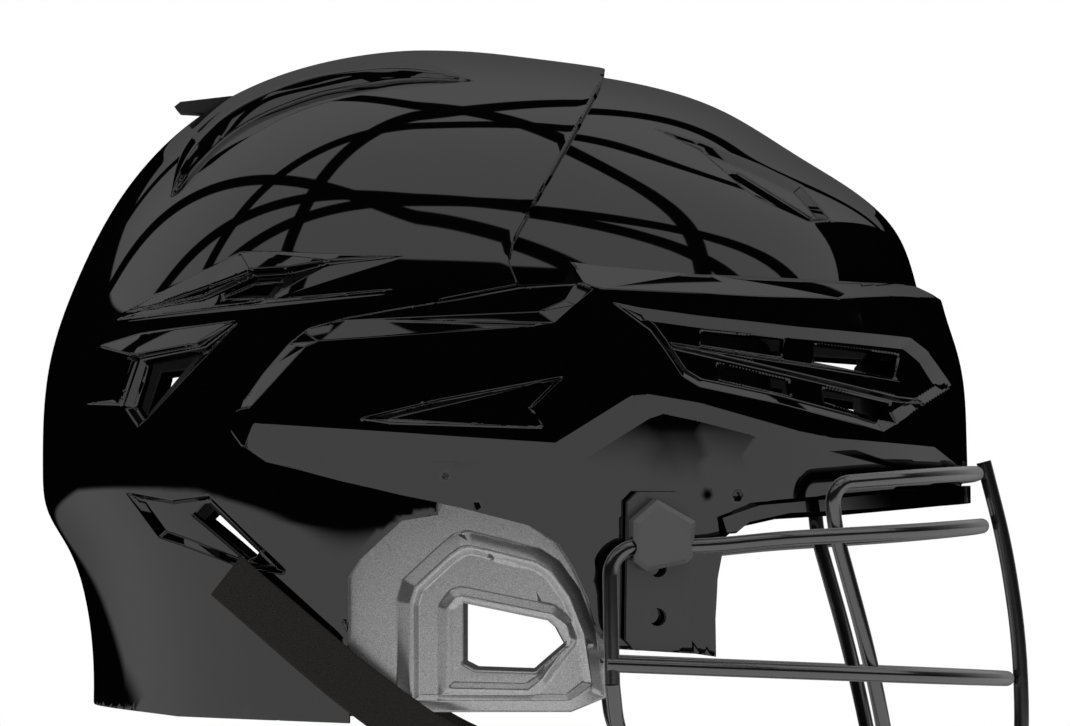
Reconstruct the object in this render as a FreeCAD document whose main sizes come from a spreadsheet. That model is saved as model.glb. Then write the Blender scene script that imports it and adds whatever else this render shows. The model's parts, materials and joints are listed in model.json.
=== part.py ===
"""Box-lacrosse helmet: a two-piece shell, liners, ear guards, wire mask and chin strap.

Frame: +X towards the wearer's face, +Y to the wearer's left, +Z up, millimetres.
The origin is the middle of the head cavity, level with the brow edge of the front shell.
"""
import FreeCAD, Part

import math
import os

import Sketcher
from FreeCAD import Placement, Rotation, Vector

DIMENSIONS = {
    "wall": 2.5,
    "crown_height": 131.7,
    "half_breadth": 105.0,
    "widest_station": -25.0,
    "breadth_level": 10.0,
    "oval_power": 2.3,
    "front_sink": 2.9,
    "arm_gap": 1.0,
    "slide_travel": 10.0,
    "recess_depth": 2.1,
    "fin_height": 2.0,
    "ear_inset": 4.5,
    "ear_wall": 2.6,
    "rear_liner_out": 5.0,
    "rear_liner_in": 14.5,
    "front_liner_out": 7.4,
    "front_liner_in": 17.0,
    "pad_thick": 7.0,
    "wire_diameter": 4.6,
    "cage_breadth": 115.2,
    "cage_reach": 159.0,
    "cage_level": -72.0,
    "cage_bow": 0.00198,
    "cage_power": 2.2,
    "wire_stack": 4.2,
    "cage_station": 20.0,
    "clip_hole": 5.3,
    "clip_plate_thick": 2.6,
    "clip_plate_long": 47.0,
    "clip_plate_wide": 19.0,
    "clip_cover_thick": 7.2,
    "clip_wire_height": 5.9,
    "screw_radius": 2.0,
    "screw_head_radius": 4.0,
    "screw_head_height": 1.6,
    "screw_long": 9.0,
    "stud_radius": 2.5,
    "stud_washer_radius": 5.5,
    "stud_washer_height": 1.5,
    "snap_radius": 4.6,
    "strap_wide": 15.0,
    "strap_thick": 1.6,
    "lever_wide": 22.0,
    "lever_barrel": 3.6,
    "lever_pin_radius": 1.5,
    "running_gap": 0.05,
    "post_radius": 2.2,
    "post_long": 15.5,
    "cradle_wall": 2.4,
    "cup_wall": 2.2,
}

# Mid-plane outline of the base surface, from the neck edge up to the crown: (x, z).
REAR_OUTLINE = [
    (-127.0, -86.0), (-126.3, -55.0), (-128.6, -36.8), (-134.0, -21.0), (-140.5, -9.0),
    (-141.8, 3.0), (-139.4, 36.8), (-131.1, 61.4), (-118.2, 86.0), (-96.7, 109.3),
    (-69.1, 124.0), (-47.0, 129.6), (-25.0, 131.7),
]
FRONT_OUTLINE = [
    (135.5, -86.0), (138.0, -40.0), (138.6, -5.0), (138.2, 12.0), (136.0, 36.0),
    (132.0, 49.0), (129.1, 60.3), (123.6, 75.7), (92.3, 101.2), (67.2, 116.2),
    (42.0, 124.1), (10.7, 128.9), (-7.7, 131.1), (-25.0, 131.7),
]

# Side-view outlines, (x, z), cut straight through in Y so that both sides match.
SEAM = [(29.5, 121.0), (22.7, 107.0), (14.3, 91.0), (3.3, 70.6), (1.8, 63.0)]
REAR_SHELL_SIDE = (
    [(30.0, 150.0)] + SEAM
    + [(4.5, 56.4), (-13.0, 53.0), (-19.0, 51.8), (-19.5, -12.0), (-30.2, -13.7), (-42.7, -25.2),
       (-46.2, -30.6), (-46.3, -74.0), (-100.0, -72.0), (-150.0, -66.0), (-150.0, 150.0)]
)
LEDGE = [(24.0, 56.5), (28.5, 55.5), (76.0, 54.0), (100.0, 54.0), (117.0, 55.5), (150.0, 57.0)]
DOME_SIDE = (
    [(8.0, 150.0), (5.0, 121.0), (-3.0, 105.0), (-12.0, 90.0), (-19.0, 70.0), (-20.0, 55.5),
     (18.0, 57.2)] + LEDGE + [(150.0, 150.0)]
)
ARM_TOP = [
    (-81.2, 12.7), (-78.8, 21.9), (-72.8, 30.4), (-65.0, 39.3), (-58.0, 44.2), (-47.0, 47.0),
    (-31.0, 49.8), (-13.0, 52.6), (5.0, 56.0), (21.6, 57.0),
]
ARM_BOTTOM = [
    (150.0, -1.0), (138.0, -2.0), (97.3, -6.6), (76.0, -8.6), (64.5, -12.5), (66.2, -22.8),
    (64.7, -31.0), (64.1, -43.0), (64.4, -54.3), (58.2, -53.4), (32.9, -51.9), (27.5, -44.5),
    (25.5, -37.0), (21.0, -27.6), (16.6, -20.8), (7.7, -15.2), (-13.0, -9.9), (-30.7, -6.4),
    (-48.4, -2.2), (-60.3, 1.1), (-71.6, 3.8), (-78.2, 8.5),
]
BAND_SIDE = ARM_TOP + LEDGE + ARM_BOTTOM
FRONT_VENT = [
    (32.5, 51.0), (58.2, 47.2), (88.2, 44.3), (122.8, 42.0), (128.5, 38.0), (135.0, 28.0),
    (113.5, 13.3), (82.1, 21.3), (58.1, 26.1), (47.7, 37.0),
]
FRONT_SLOTS = [
    [(59.3, 43.1), (84.6, 41.3), (83.6, 35.9), (59.3, 38.2)],
    [(94.2, 39.7), (120.5, 37.3), (118.9, 30.2), (93.6, 34.0)],
    [(64.1, 33.3), (86.0, 29.5), (86.6, 24.0), (64.7, 28.0)],
    [(96.6, 27.2), (118.8, 23.2), (117.9, 16.1), (96.6, 21.6)],
]
CROWN_VENT = [(44.7, 105.3), (58.9, 101.3), (77.1, 94.3), (89.3, 88.5), (98.5, 77.6), (91.9, 76.7),
              (70.8, 87.6), (58.8, 98.4)]
CROWN_SLOT = [(67.2, 92.9), (71.5, 93.1), (94.5, 79.5), (91.0, 78.2)]
SCOOP = [(-115.2, 49.0), (-78.6, 66.5), (-72.6, 66.7), (-33.8, 64.9), (-51.6, 62.5), (-64.1, 59.5),
         (-69.4, 52.8), (-86.0, 52.4)]
SCOOP_SLOT = [(-86.0, 54.1), (-75.5, 60.0), (-66.0, 60.0), (-71.0, 54.1)]
REAR_VENT = [(-111.0, 35.5), (-88.9, 38.6), (-79.0, 45.8), (-92.0, 29.0), (-106.5, 16.2),
             (-109.6, 14.6), (-114.2, 20.4)]
REAR_SLOT = [(-108.0, 33.8), (-91.0, 36.8), (-106.6, 19.2), (-109.2, 16.8), (-112.0, 20.8)]
LOWER_VENT = [(-113.3, -4.7), (-99.5, -7.3), (-87.9, -5.9), (-64.9, -28.2), (-65.2, -29.7),
              (-78.4, -27.3), (-96.5, -20.7), (-103.2, -18.5)]
LOWER_SLOT = [(-91.3, -8.8), (-88.5, -8.5), (-73.5, -22.8), (-74.7, -24.4), (-77.6, -25.6), (-94.2, -12.0)]
FIN = [(-100.5, 83.8), (-91.6, 97.0), (-79.7, 107.7), (-67.7, 113.7), (-55.6, 117.6), (-31.5, 120.9),
       (-7.3, 118.6), (-31.5, 117.2), (-55.6, 113.0), (-74.0, 104.5), (-87.0, 93.0)]
EAR_GUARD_SIDE = [(-51.0, -70.5), (-51.0, -29.5), (-44.0, -20.0), (-42.0, -3.0), (-11.0, -3.0),
                  (9.0, -12.0), (24.0, -26.0), (31.0, -44.0), (31.0, -66.0), (20.0, -70.5),
                  (-36.0, -70.5)]
EAR_BEAD_OUT = [(-31.7, -77.5), (-31.7, -37.0), (-29.9, -31.1), (-18.9, -20.8), (-14.5, -17.5),
                (-10.1, -16.9), (10.7, -22.0), (16.6, -25.8), (22.5, -34.1), (27.0, -46.0), (27.5, -77.5)]
EAR_BEAD_IN = [(-29.0, -78.0), (-28.6, -35.6), (-26.8, -31.7), (-17.5, -22.1), (-13.6, -19.9),
               (-8.6, -19.9), (4.8, -23.9), (12.2, -27.6), (16.6, -33.2), (22.0, -46.0), (22.5, -78.0)]
EAR_RING = [(-17.5, -64.0), (-17.5, -38.6), (-15.0, -34.6), (-12.4, -34.0), (15.1, -39.8), (20.0, -43.5),
            (21.5, -49.5), (13.0, -63.0), (5.0, -64.5), (-12.0, -64.5)]
EAR_HOLE = [(-12.1, -38.0), (13.4, -43.3), (15.7, -45.4), (18.4, -50.4), (9.2, -58.4), (-8.6, -58.0),
            (-12.1, -56.0)]

WIDE = 200.0
OVAL_POINTS = 28
LOFT_LEVELS = 17
LOFT_FOOT = -84.0

doc = FreeCAD.newDocument("helmet")
sheet = doc.addObject("Spreadsheet::Sheet", "dims")
for row, (alias, value) in enumerate(DIMENSIONS.items(), start=1):
    sheet.set(f"A{row}", alias)
    sheet.set(f"B{row}", str(value))
    sheet.setAlias(f"B{row}", alias)
doc.recompute()

nodes = []


def dim(alias):
    """Return a driving dimension from the spreadsheet."""
    return float(getattr(sheet, alias))


def keep(obj, label):
    """Name an object as one finished sub-part."""
    obj.Label = label
    nodes.append(obj)
    return obj


def feature(label, shape, placement=None):
    """Add a finished sub-part whose shape is worked out from the sheet's values."""
    obj = doc.addObject("Part::Feature", label)
    obj.Shape = shape
    if placement is not None:
        obj.Placement = placement
    return keep(obj, label)


# The base surface


def outline_samples(points, lift):
    """Sample a mid-plane outline and move it outward by lift, as (z, x) pairs going up."""
    curve = Part.BSplineCurve()
    curve.interpolate([Vector(x, 0, z) for x, z in points])
    samples = []
    steps = 300
    first, last = curve.FirstParameter, curve.LastParameter
    side = -1.0 if points[0][0] < 0 else 1.0
    for step in range(steps + 1):
        parameter = first + (last - first) * step / steps
        point = curve.value(parameter)
        along = curve.tangent(parameter)[0]
        outward = Vector(side * abs(along.z), 0, max(0.0, -side * along.x))
        outward.normalize()
        moved = point + outward * lift
        samples.append((moved.z, moved.x))
    return samples


def breadth_samples(lift):
    """Sample the half breadth against height, moved outward by lift."""
    crown = dim("crown_height")
    level = dim("breadth_level")
    half = dim("half_breadth")
    samples = [(LOFT_FOOT - 20.0, half * 0.94 + lift)]
    steps = 200
    power = 2.4
    for step in range(steps + 1):
        turn = math.pi / 2 * step / steps
        width = half * math.cos(turn) ** (2 / power)
        height = level + (crown - level) * math.sin(turn) ** (2 / power)
        grow = math.cos(turn) ** 1.2
        rise = math.sin(turn) ** 1.2
        size = math.hypot(grow, rise)
        samples.append((height + lift * rise / size, width + lift * grow / size))
    samples[1] = (level, half + lift)
    return samples


def at_level(samples, level):
    """Read a sampled curve at a height by straight lines between samples."""
    for (low_z, low), (high_z, high) in zip(samples, samples[1:]):
        if low_z <= level <= high_z and high_z > low_z:
            return low + (high - low) * (level - low_z) / (high_z - low_z)
    return samples[-1][1] if level > samples[-1][0] else samples[0][1]


class Surface:
    """The base surface moved outward by a lift: an egg-shaped oval at every height."""

    def __init__(self, lift):
        self.lift = lift
        self.top = dim("crown_height") + lift
        self.rear = outline_samples(REAR_OUTLINE, lift)
        self.front = outline_samples(FRONT_OUTLINE, lift)
        self.breadth = breadth_samples(lift)
        self.station = dim("widest_station")
        self.power = dim("oval_power")

    def spans(self, level):
        """Return the rear reach, front reach and half breadth from the widest station."""
        rear = max(0.05, self.station - at_level(self.rear, level))
        front = max(0.05, at_level(self.front, level) - self.station)
        return rear, front, max(0.05, at_level(self.breadth, level))

    def point(self, level, turn):
        """Return the point of the oval at a height; turn 0 is the front, 90 degrees the left."""
        rear, front, half = self.spans(level)
        cosine, sine = math.cos(turn), math.sin(turn)
        reach = front if cosine > 0 else rear
        power = 2 / self.power
        x = self.station + math.copysign(reach * abs(cosine) ** power, cosine)
        y = math.copysign(half * abs(sine) ** power, sine)
        return Vector(x, y, level)

    def side(self, x, z):
        """Return the distance from the mid-plane to the surface at a side-view point."""
        rear, front, half = self.spans(z)
        share = (x - self.station) / front if x > self.station else (self.station - x) / rear
        return half * (1 - min(1.0, abs(share)) ** self.power) ** (1 / self.power)

    def solid(self, foot=LOFT_FOOT):
        """Loft the ovals from the foot to just under the crown into a closed solid."""
        wires = []
        last_turn = math.radians(87.6)
        for index in range(LOFT_LEVELS):
            share = math.sin(last_turn * index / (LOFT_LEVELS - 1))
            level = foot + (self.top - foot) * share
            turns = [2 * math.pi * step / OVAL_POINTS for step in range(OVAL_POINTS)]
            points = [self.point(level, turn) for turn in turns]
            curve = Part.BSplineCurve()
            curve.interpolate(points, PeriodicFlag=True, Parameters=turns + [2 * math.pi])
            wires.append(Part.Wire(curve.toShape()))
        return Part.makeLoft(wires, True, False)


surfaces = {}
solids = {}


def surface(lift):
    """Return the surface at a lift, made once."""
    if lift not in surfaces:
        surfaces[lift] = Surface(lift)
    return surfaces[lift]


def body_at(lift):
    """Return the solid under the surface at a lift, made once."""
    if lift not in solids:
        solids[lift] = surface(lift).solid()
    return solids[lift]


def thick_body(outer, inner):
    """Return the closed wall between two lifts: both side faces, both crown caps and a foot ring."""
    faces = []
    feet = []
    for lift in (outer, inner):
        parts = sorted(body_at(lift).Faces, key=lambda face: face.CenterOfMass.z)
        feet.append(parts[0].OuterWire)
        faces.extend(parts[1:])
    ring = Part.Face(feet)
    ring.validate()
    wall = Part.makeShell(faces + [ring])
    wall.sewShape()
    return Part.makeSolid(wall)


def prism(outline, low=-WIDE, high=WIDE):
    """Extrude a side-view outline along Y."""
    corners = [Vector(x, low, z) for x, z in outline]
    face = Part.Face(Part.makePolygon(corners + corners[:1]))
    return face.extrude(Vector(0, high - low, 0))


def layer(outer, inner, region):
    """Return the curved sheet between two lifts, inside a region solid."""
    return thick_body(outer, inner).common(region)


def fused(first, *others):
    """Fuse shapes and return their single solid."""
    shape = first
    for other in others:
        shape = shape.fuse(other)
    return shape


def biggest(shape):
    """Return the largest solid of a shape, without the slivers a cut may leave."""
    return max(shape.Solids, key=lambda solid: solid.Volume)


def shifted(outline, dx, dz):
    """Return a side-view outline moved by dx and dz."""
    return [(x + dx, z + dz) for x, z in outline]


def grown(outline, amount):
    """Return an outline whose corners move away from its middle by about an amount."""
    middle_x = sum(x for x, _ in outline) / len(outline)
    middle_z = sum(z for _, z in outline) / len(outline)
    result = []
    for x, z in outline:
        reach = math.hypot(x - middle_x, z - middle_z)
        scale = (reach + amount) / reach
        result.append((middle_x + (x - middle_x) * scale, middle_z + (z - middle_z) * scale))
    return result


def recess(shape, outline, slots, outer, depth, wall):
    """Sink an outline into a shell to a depth, with a floor behind it and slots through."""
    floor_top = outer - depth
    shape = shape.cut(layer(outer + 2.0, floor_top, prism(outline)))
    floor = layer(floor_top, floor_top - wall, prism(grown(outline, 1.6)))
    shape = shape.fuse(floor)
    for slot in slots:
        shape = shape.cut(prism(slot))
    return shape


# Shells


SLIDE_STUDS = [(-27.0, 33.0), (-27.0, 12.0)]
EAR_SCREWS = [(-36.0, -8.0), (-22.0, -8.0)]
STRAP_ANCHOR = (-78.5, -33.3)
LEVER_PIN = (-76.0, 114.0)
CLIP_CENTRE = (45.0, -28.5)
CLIP_SCREWS = [(-1.0, 15.4), (0.0, -19.0)]
SIDES = [("right", -1.0), ("left", 1.0)]


def across(radius, x, z, low=-WIDE, high=WIDE):
    """Return a round bar along Y."""
    return Part.makeCylinder(radius, high - low, Vector(x, low, z), Vector(0, 1, 0))


def slide_slots():
    """Slots that let the front shell's studs run back by the slide travel."""
    radius = dim("stud_radius") + dim("running_gap")
    travel = dim("slide_travel")
    cutters = []
    for x, z in SLIDE_STUDS:
        cutters.append(across(radius, x, z))
        cutters.append(across(radius, x - travel, z))
        cutters.append(Part.makeBox(travel, 2 * WIDE, 2 * radius, Vector(x - travel, -WIDE, z - radius)))
    return fused(*cutters)


def rear_shell():
    """Rear half of the shell, with its vents, crown fins, lever slot and slide slots."""
    wall = dim("wall")
    depth = dim("recess_depth")
    shape = layer(0.0, -wall, prism(REAR_SHELL_SIDE))
    shape = shape.fuse(layer(dim("fin_height"), -0.6, prism(FIN)))
    for outline, slot in ((SCOOP, SCOOP_SLOT), (REAR_VENT, REAR_SLOT), (LOWER_VENT, LOWER_SLOT)):
        shape = recess(shape, outline, [slot], 0.0, depth, wall - 0.3)
    half = dim("lever_wide") / 2 + 0.4
    shape = shape.cut(Part.makeBox(20.0, 2 * half, 20.0, Vector(-96.0, -half, 106.0)))
    shape = shape.cut(slide_slots())
    shape = shape.cut(across(3.0, *STRAP_ANCHOR))
    for x, z in EAR_SCREWS:
        shape = shape.cut(across(dim("screw_radius"), x, z))
    for x, z in EAR_SCREWS:
        for _, side in SIDES:
            shape = shape.cut(screw_head_room(x, z, side))
    for _, side in SIDES:
        for offset in POST_PLACES:
            shape = shape.cut(post(offset * side))
    return biggest(shape)


def screw_head_room(x, z, side):
    """Sink for an ear guard screw's head in the outside of the rear shell."""
    outer = surface(0.0).side(x, z) + 1.0
    inner = surface(0.0).side(x, z) - dim("screw_head_height") - 0.2
    low, high = sorted((side * inner, side * outer))
    return across(dim("screw_head_radius"), x, z, low, high)


POST_PLACES = [34.0]
POST_LEVEL = -46.0


def post(y):
    """Guide post of the nape cradle, from the middle of the rear wall forward."""
    level_points = [surface(-1.2).point(POST_LEVEL, math.pi + math.radians(turn)) for turn in range(-60, 61)]
    start = min(level_points, key=lambda point: abs(point.y - y))
    return Part.makeCylinder(dim("post_radius"), dim("post_long"), Vector(start.x, y, POST_LEVEL), Vector(1, 0, 0))


def front_shell():
    """Front half: a dome that runs under the rear shell and a raised band that laps its sides."""
    wall = dim("wall")
    dome_out = -dim("front_sink")
    dome_in = dome_out - wall
    band_in = dim("arm_gap")
    band_out = band_in + wall
    shape = layer(dome_out, dome_in, prism(DOME_SIDE))
    shape = shape.fuse(layer(band_out, band_in, prism(BAND_SIDE)))
    lower_step = shifted(LEDGE, 0.0, -2.5) + list(reversed(shifted(LEDGE, 0.0, 2.5)))
    upper_step = shifted(LEDGE, -1.0, 0.5) + list(reversed(shifted(LEDGE, -3.0, 7.5)))
    shape = shape.fuse(layer(band_out - 0.2, dome_in + 0.2, prism(lower_step)))
    shape = shape.fuse(layer(0.1, dome_in + 0.3, prism(upper_step)))
    shape = recess(shape, FRONT_VENT, FRONT_SLOTS, band_out, 2.2, wall)
    shape = recess(shape, CROWN_VENT, [CROWN_SLOT], dome_out, dim("recess_depth"), wall - 0.4)
    for _, side in SIDES:
        for x, z in SLIDE_STUDS:
            shape = shape.cut(slide_stud(x, z, side))
        frame = clip_frame(side)
        for x, y in CLIP_SCREWS:
            hole = Part.makeCylinder(dim("screw_radius") + 0.05, 30.0, Vector(x * -side, y, -15.0))
            hole.Placement = frame
            shape = shape.cut(hole)
    return biggest(shape)


# Places on the sides


def clip_frame(side):
    """Frame on the band's outer face: X along the surface, Y up, Z outward."""
    x, z = CLIP_CENTRE
    skin = surface(dim("arm_gap") + dim("wall"))

    def spot(px, pz):
        return Vector(px, side * skin.side(px, pz), pz)

    along = (spot(x + 6.0, z) - spot(x - 6.0, z)).normalize()
    rise = (spot(x, z + 18.0) - spot(x, z - 18.0)).normalize()
    if side > 0:
        along = -along
    outward = along.cross(rise).normalize()
    up = outward.cross(along)
    origin = spot(x, z) + outward * 0.45
    return Placement(FreeCAD.Matrix(
        along.x, up.x, outward.x, origin.x,
        along.y, up.y, outward.y, origin.y,
        along.z, up.z, outward.z, origin.z,
        0, 0, 0, 1))


def slide_stud(x, z, side):
    """Stud pressed into the arm, through the rear shell's slot to its washer."""
    skin = surface(dim("arm_gap")).side(x, z)
    low, high = sorted((side * (skin + 1.0), side * (skin - 6.4)))
    return across(dim("stud_radius"), x, z, low, high)


def slide_washer(x, z, side):
    """Washer on the inner end of a slide stud."""
    inner = surface(-dim("wall")).side(x, z) - 1.3
    low, high = sorted((side * inner, side * (inner - dim("stud_washer_height"))))
    return across(dim("stud_washer_radius"), x, z, low, high).cut(across(dim("stud_radius"), x, z))


# Ear guards


def half_prism(outline, side):
    """Extrude a side-view outline on one side only."""
    low, high = (0.0, WIDE) if side > 0 else (-WIDE, 0.0)
    return prism(outline, low, high)


def ear_guard(side):
    """Dished plate with a raised bead round it and a beaded ear opening."""
    inset = dim("ear_inset")
    shape = layer(-inset, -inset - dim("ear_wall"), half_prism(EAR_GUARD_SIDE, side))
    bead = half_prism(EAR_BEAD_OUT, side).cut(half_prism(EAR_BEAD_IN, side))
    ring = half_prism(EAR_RING, side).cut(half_prism(EAR_HOLE, side))
    shape = shape.fuse(layer(-inset + 1.4, -inset - 0.8, bead))
    shape = shape.fuse(layer(-inset + 1.2, -inset - 0.9, ring))
    shape = shape.cut(half_prism(EAR_HOLE, side))
    for x, z in EAR_SCREWS:
        shape = shape.cut(across(dim("screw_radius"), x, z))
    return biggest(shape)


# Liners and pads


def rear_liner():
    """Foam liner of the rear half, open behind the vents, the cradle and the lever."""
    region = prism([(-36.0, 150.0), (-36.0, 44.0), (-49.0, 43.0), (-49.0, 3.0), (-54.0, -4.0), (-54.0, -60.0),
                    (-150.0, -60.0), (-150.0, 150.0)])
    shape = layer(-dim("rear_liner_out"), -dim("rear_liner_in"), region)
    shape = shape.cut(Part.makeBox(80.0, 108.0, 42.0, Vector(-160.0, -54.0, -66.0)))
    shape = shape.cut(Part.makeBox(36.0, 34.0, 60.0, Vector(-102.0, -17.0, 98.0)))
    for slot in (SCOOP_SLOT, REAR_SLOT, LOWER_SLOT):
        shape = shape.cut(prism(grown(slot, 1.0)))
    for _, side in SIDES:
        shape = shape.cut(across(6.5, *STRAP_ANCHOR))
    return biggest(shape)


def front_liner():
    """Foam liner of the front half, open behind the vents."""
    region = prism([(-18.0, 150.0), (-18.0, 6.0), (66.0, 6.0), (150.0, 4.0), (150.0, 150.0)])
    shape = layer(-dim("front_liner_out"), -dim("front_liner_in"), region)
    for slot in FRONT_SLOTS + [CROWN_SLOT]:
        shape = shape.cut(prism(grown(slot, 0.8)))
    return biggest(shape)


def crowned_section(origin, inward, up, height, thick):
    """Closed section of a cushion: a flat back, a crowned face and drawn-in sides."""
    half = height / 2

    def spot(depth, rise):
        return origin + inward * (depth * thick) + up * (rise * half)

    back = Part.makeLine(spot(0.0, -1.0), spot(0.0, 1.0))
    top = Part.Arc(spot(0.0, 1.0), spot(0.42, 1.04), spot(0.74, 0.84)).toShape()
    face = Part.Arc(spot(0.74, 0.84), spot(1.0, 0.0), spot(0.74, -0.84)).toShape()
    foot = Part.Arc(spot(0.74, -0.84), spot(0.42, -1.04), spot(0.0, -1.0)).toShape()
    return Part.Wire([back, top, face, foot])


def cushion(stations, height, thick):
    """Loft a crowned cushion through stations of (point, inward, up), its ends drawn in."""
    wires = []
    last = len(stations) - 1
    for index, (origin, inward, up) in enumerate(stations):
        share = abs(2.0 * index / last - 1.0)
        full = math.sqrt(max(0.0, 1.0 - share ** 4))
        wires.append(crowned_section(origin, inward, up, height * (0.62 + 0.38 * full),
                                     thick * (0.4 + 0.6 * full)))
    return Part.makeLoft(wires, True, False)


def wall_stations(lift, level, first_degrees, last_degrees, count=9):
    """Stations round the inside of a wall at one level."""
    skin = surface(lift)
    stations = []
    for index in range(count):
        turn = math.radians(first_degrees + (last_degrees - first_degrees) * index / (count - 1))
        point = skin.point(level, turn)
        up = (skin.point(level + 8.0, turn) - skin.point(level - 8.0, turn)).normalize()
        along = (skin.point(level, turn + 0.02) - skin.point(level, turn - 0.02)).normalize()
        inward = up.cross(along).normalize()
        if inward.dot(Vector(-25.0, 0.0, level) - point) < 0:
            inward = -inward
        stations.append((point + inward * 1.6, inward, along.cross(inward).normalize()))
    return stations


def crown_stations(lift, first_x, last_x, count=9):
    """Stations along the mid-plane of the crown."""
    skin = surface(lift)
    samples = sorted((x, z) for z, x in skin.rear + skin.front)
    stations = []

    def height(x):
        for (low_x, low), (high_x, high) in zip(samples, samples[1:]):
            if low_x <= x <= high_x and high_x > low_x:
                return low + (high - low) * (x - low_x) / (high_x - low_x)
        return samples[-1][1]

    for index in range(count):
        x = first_x + (last_x - first_x) * index / (count - 1)
        along = Vector(8.0, 0, height(x + 4.0) - height(x - 4.0)).normalize()
        inward = Vector(along.z, 0, -along.x)
        stations.append((Vector(x, 0, height(x)) + inward * 1.6, inward, Vector(0, 1, 0)))
    return stations


# Mask


def cage_reach(level):
    """Reach of the mask's outermost wire at a level: it bows forward to the mouth."""
    return dim("cage_reach") - dim("cage_bow") * (level - dim("cage_level")) ** 2


def cage_point(x, level, inset, side):
    """Return the point of the cage at a station, an inset inside its outermost wire."""
    narrow = 0.006 * min(0.0, level + 50.0) ** 2
    half = dim("cage_breadth") - narrow - inset
    start = dim("cage_station")
    share = min(1.0, max(0.0, (x - start) / (cage_reach(level) - inset - start)))
    power = dim("cage_power")
    return Vector(x, side * half * (1 - share ** power) ** (1 / power), level)


def bent_path(points):
    """Join points by straight runs with a tangent arc at each corner."""
    edges = []
    start = points[0]
    for before, corner, after in zip(points, points[1:], points[2:]):
        back = before - corner
        ahead = after - corner
        reach = 0.45 * min(back.Length, ahead.Length)
        enter = corner + back.normalize() * reach
        leave = corner + ahead.normalize() * reach
        turn = (enter + leave) * 0.5 - corner
        half_angle = math.asin(min(1.0, (enter - leave).Length / 2 / reach))
        radius = reach * math.tan(half_angle)
        centre = corner + turn.normalize() * (reach / math.cos(half_angle))
        middle = centre - turn.normalize() * radius
        edges.append(Part.makeLine(start, enter))
        edges.append(Part.Arc(enter, middle, leave).toShape())
        start = leave
    edges.append(Part.makeLine(start, points[-1]))
    return Part.Wire(edges)


def rod(points, radius):
    """Sweep a round rod along a bent path."""
    path = bent_path(points)
    heading = points[1] - points[0]
    ring = Part.Wire(Part.makeCircle(radius, points[0], heading))
    return path.makePipeShell([ring], True, False)


def mirrored(points):
    """Carry a right-hand half path, ending at the mid-plane, round to the left."""
    other = [Vector(point.x, -point.y, point.z) for point in reversed(points)]
    return points + other


def front_run(levels_and_x, inset):
    """Points of a bar from the side to just short of the mid-plane, on the right."""
    return [cage_point(x, level, inset, -1.0) for x, level in levels_and_x]


def eye_points():
    """Right half of the wire under the clips, from its rear upright to the mid-plane."""
    frame = clip_frame(-1.0)
    height = dim("clip_wire_height")
    corner = frame.multVec(Vector(-15.5, 7.2, height))
    upright_top = Vector(corner.x + 0.2, corner.y - 0.3, -40.0)
    upright_foot = Vector(corner.x + 0.7, corner.y, -62.0)
    leave = frame.multVec(Vector(15.0, 7.6, height))
    stack = dim("wire_stack")
    bar = front_run([(82.0, -19.0), (105.0, -17.6), (124.0, -16.4), (138.0, -15.2), (145.6, -14.4)], stack)
    return [upright_foot, upright_top, corner, leave] + bar


def brow_points():
    """Right half of the brow wire: an upright inside the bars, then the bar over the brow."""
    stack = dim("wire_stack")
    upright = [cage_point(x, level, 2 * stack, -1.0)
               for x, level in [(119.0, -113.0), (114.5, -80.0), (108.5, -52.0), (98.5, -16.0)]]
    corner = cage_point(97.5, -2.6, 1.4 * stack, -1.0)
    bar = front_run([(119.0, -0.6), (131.0, 0.5), (139.0, 1.2), (144.4, 1.7)], 0.7 * stack)
    return upright + [corner] + bar


def jaw_points():
    """Right half of the wire along the jaw, from the eye wire's foot to under the chin."""
    start = eye_points()[0]
    stack = dim("wire_stack")
    jaw = [(33.5, -76.0), (44.0, -94.0), (64.0, -110.0), (88.0, -122.0), (110.0, -131.0), (128.0, -136.0),
           (139.0, -138.0)]
    points = [start + Vector(0, 0, -0.1)]
    for x, level in jaw:
        points.append(cage_point(x, level, stack, -1.0))
    return points


def level_bar(first_x, first_level, last_level, inset):
    """Right half of a level bar from the jaw round to the mid-plane."""
    reach = cage_reach(last_level) - inset
    shares = [0.0, 0.3, 0.54, 0.73, 0.87, 0.96, 0.992]
    run = [(first_x + (reach - first_x) * share, first_level + (last_level - first_level) * share)
           for share in shares]
    return front_run(run, inset)


def centre_points():
    """Upright wire down the middle of the mask."""
    levels = [5.5, -20.0, -48.0, -76.0, -104.0, -128.0, -142.0]
    return [Vector(cage_reach(level), 0, level) for level in levels]


# Hardware


def rounded_outline(sketch, corners):
    """Draw a closed polygon into a sketch."""
    for (x1, y1), (x2, y2) in zip(corners, corners[1:] + corners[:1]):
        sketch.addGeometry(Part.LineSegment(Vector(x1, y1, 0), Vector(x2, y2, 0)), False)


def origin_plane(body, role):
    """Return a body's own origin plane by its role."""
    return next(part for part in body.Origin.OriginFeatures if part.Role == role)


def new_sketch(body, name, role):
    """Add a sketch on one of a body's own origin planes."""
    sketch = body.newObject("Sketcher::SketchObject", name)
    sketch.AttachmentSupport = [(origin_plane(body, role), "")]
    sketch.MapMode = "FlatFace"
    return sketch


def turned_body(name, half_profile):
    """Revolve a half profile of (radius, height) pairs about Z."""
    body = doc.addObject("PartDesign::Body", name)
    sketch = new_sketch(body, name + "_profile", "XZ_Plane")
    rounded_outline(sketch, half_profile)
    turn = body.newObject("PartDesign::Revolution", name + "_turn")
    turn.Profile = sketch
    turn.ReferenceAxis = (sketch, ["V_Axis"])
    turn.Angle = 360.0
    body.Tip = turn
    doc.recompute()
    return body


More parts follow.
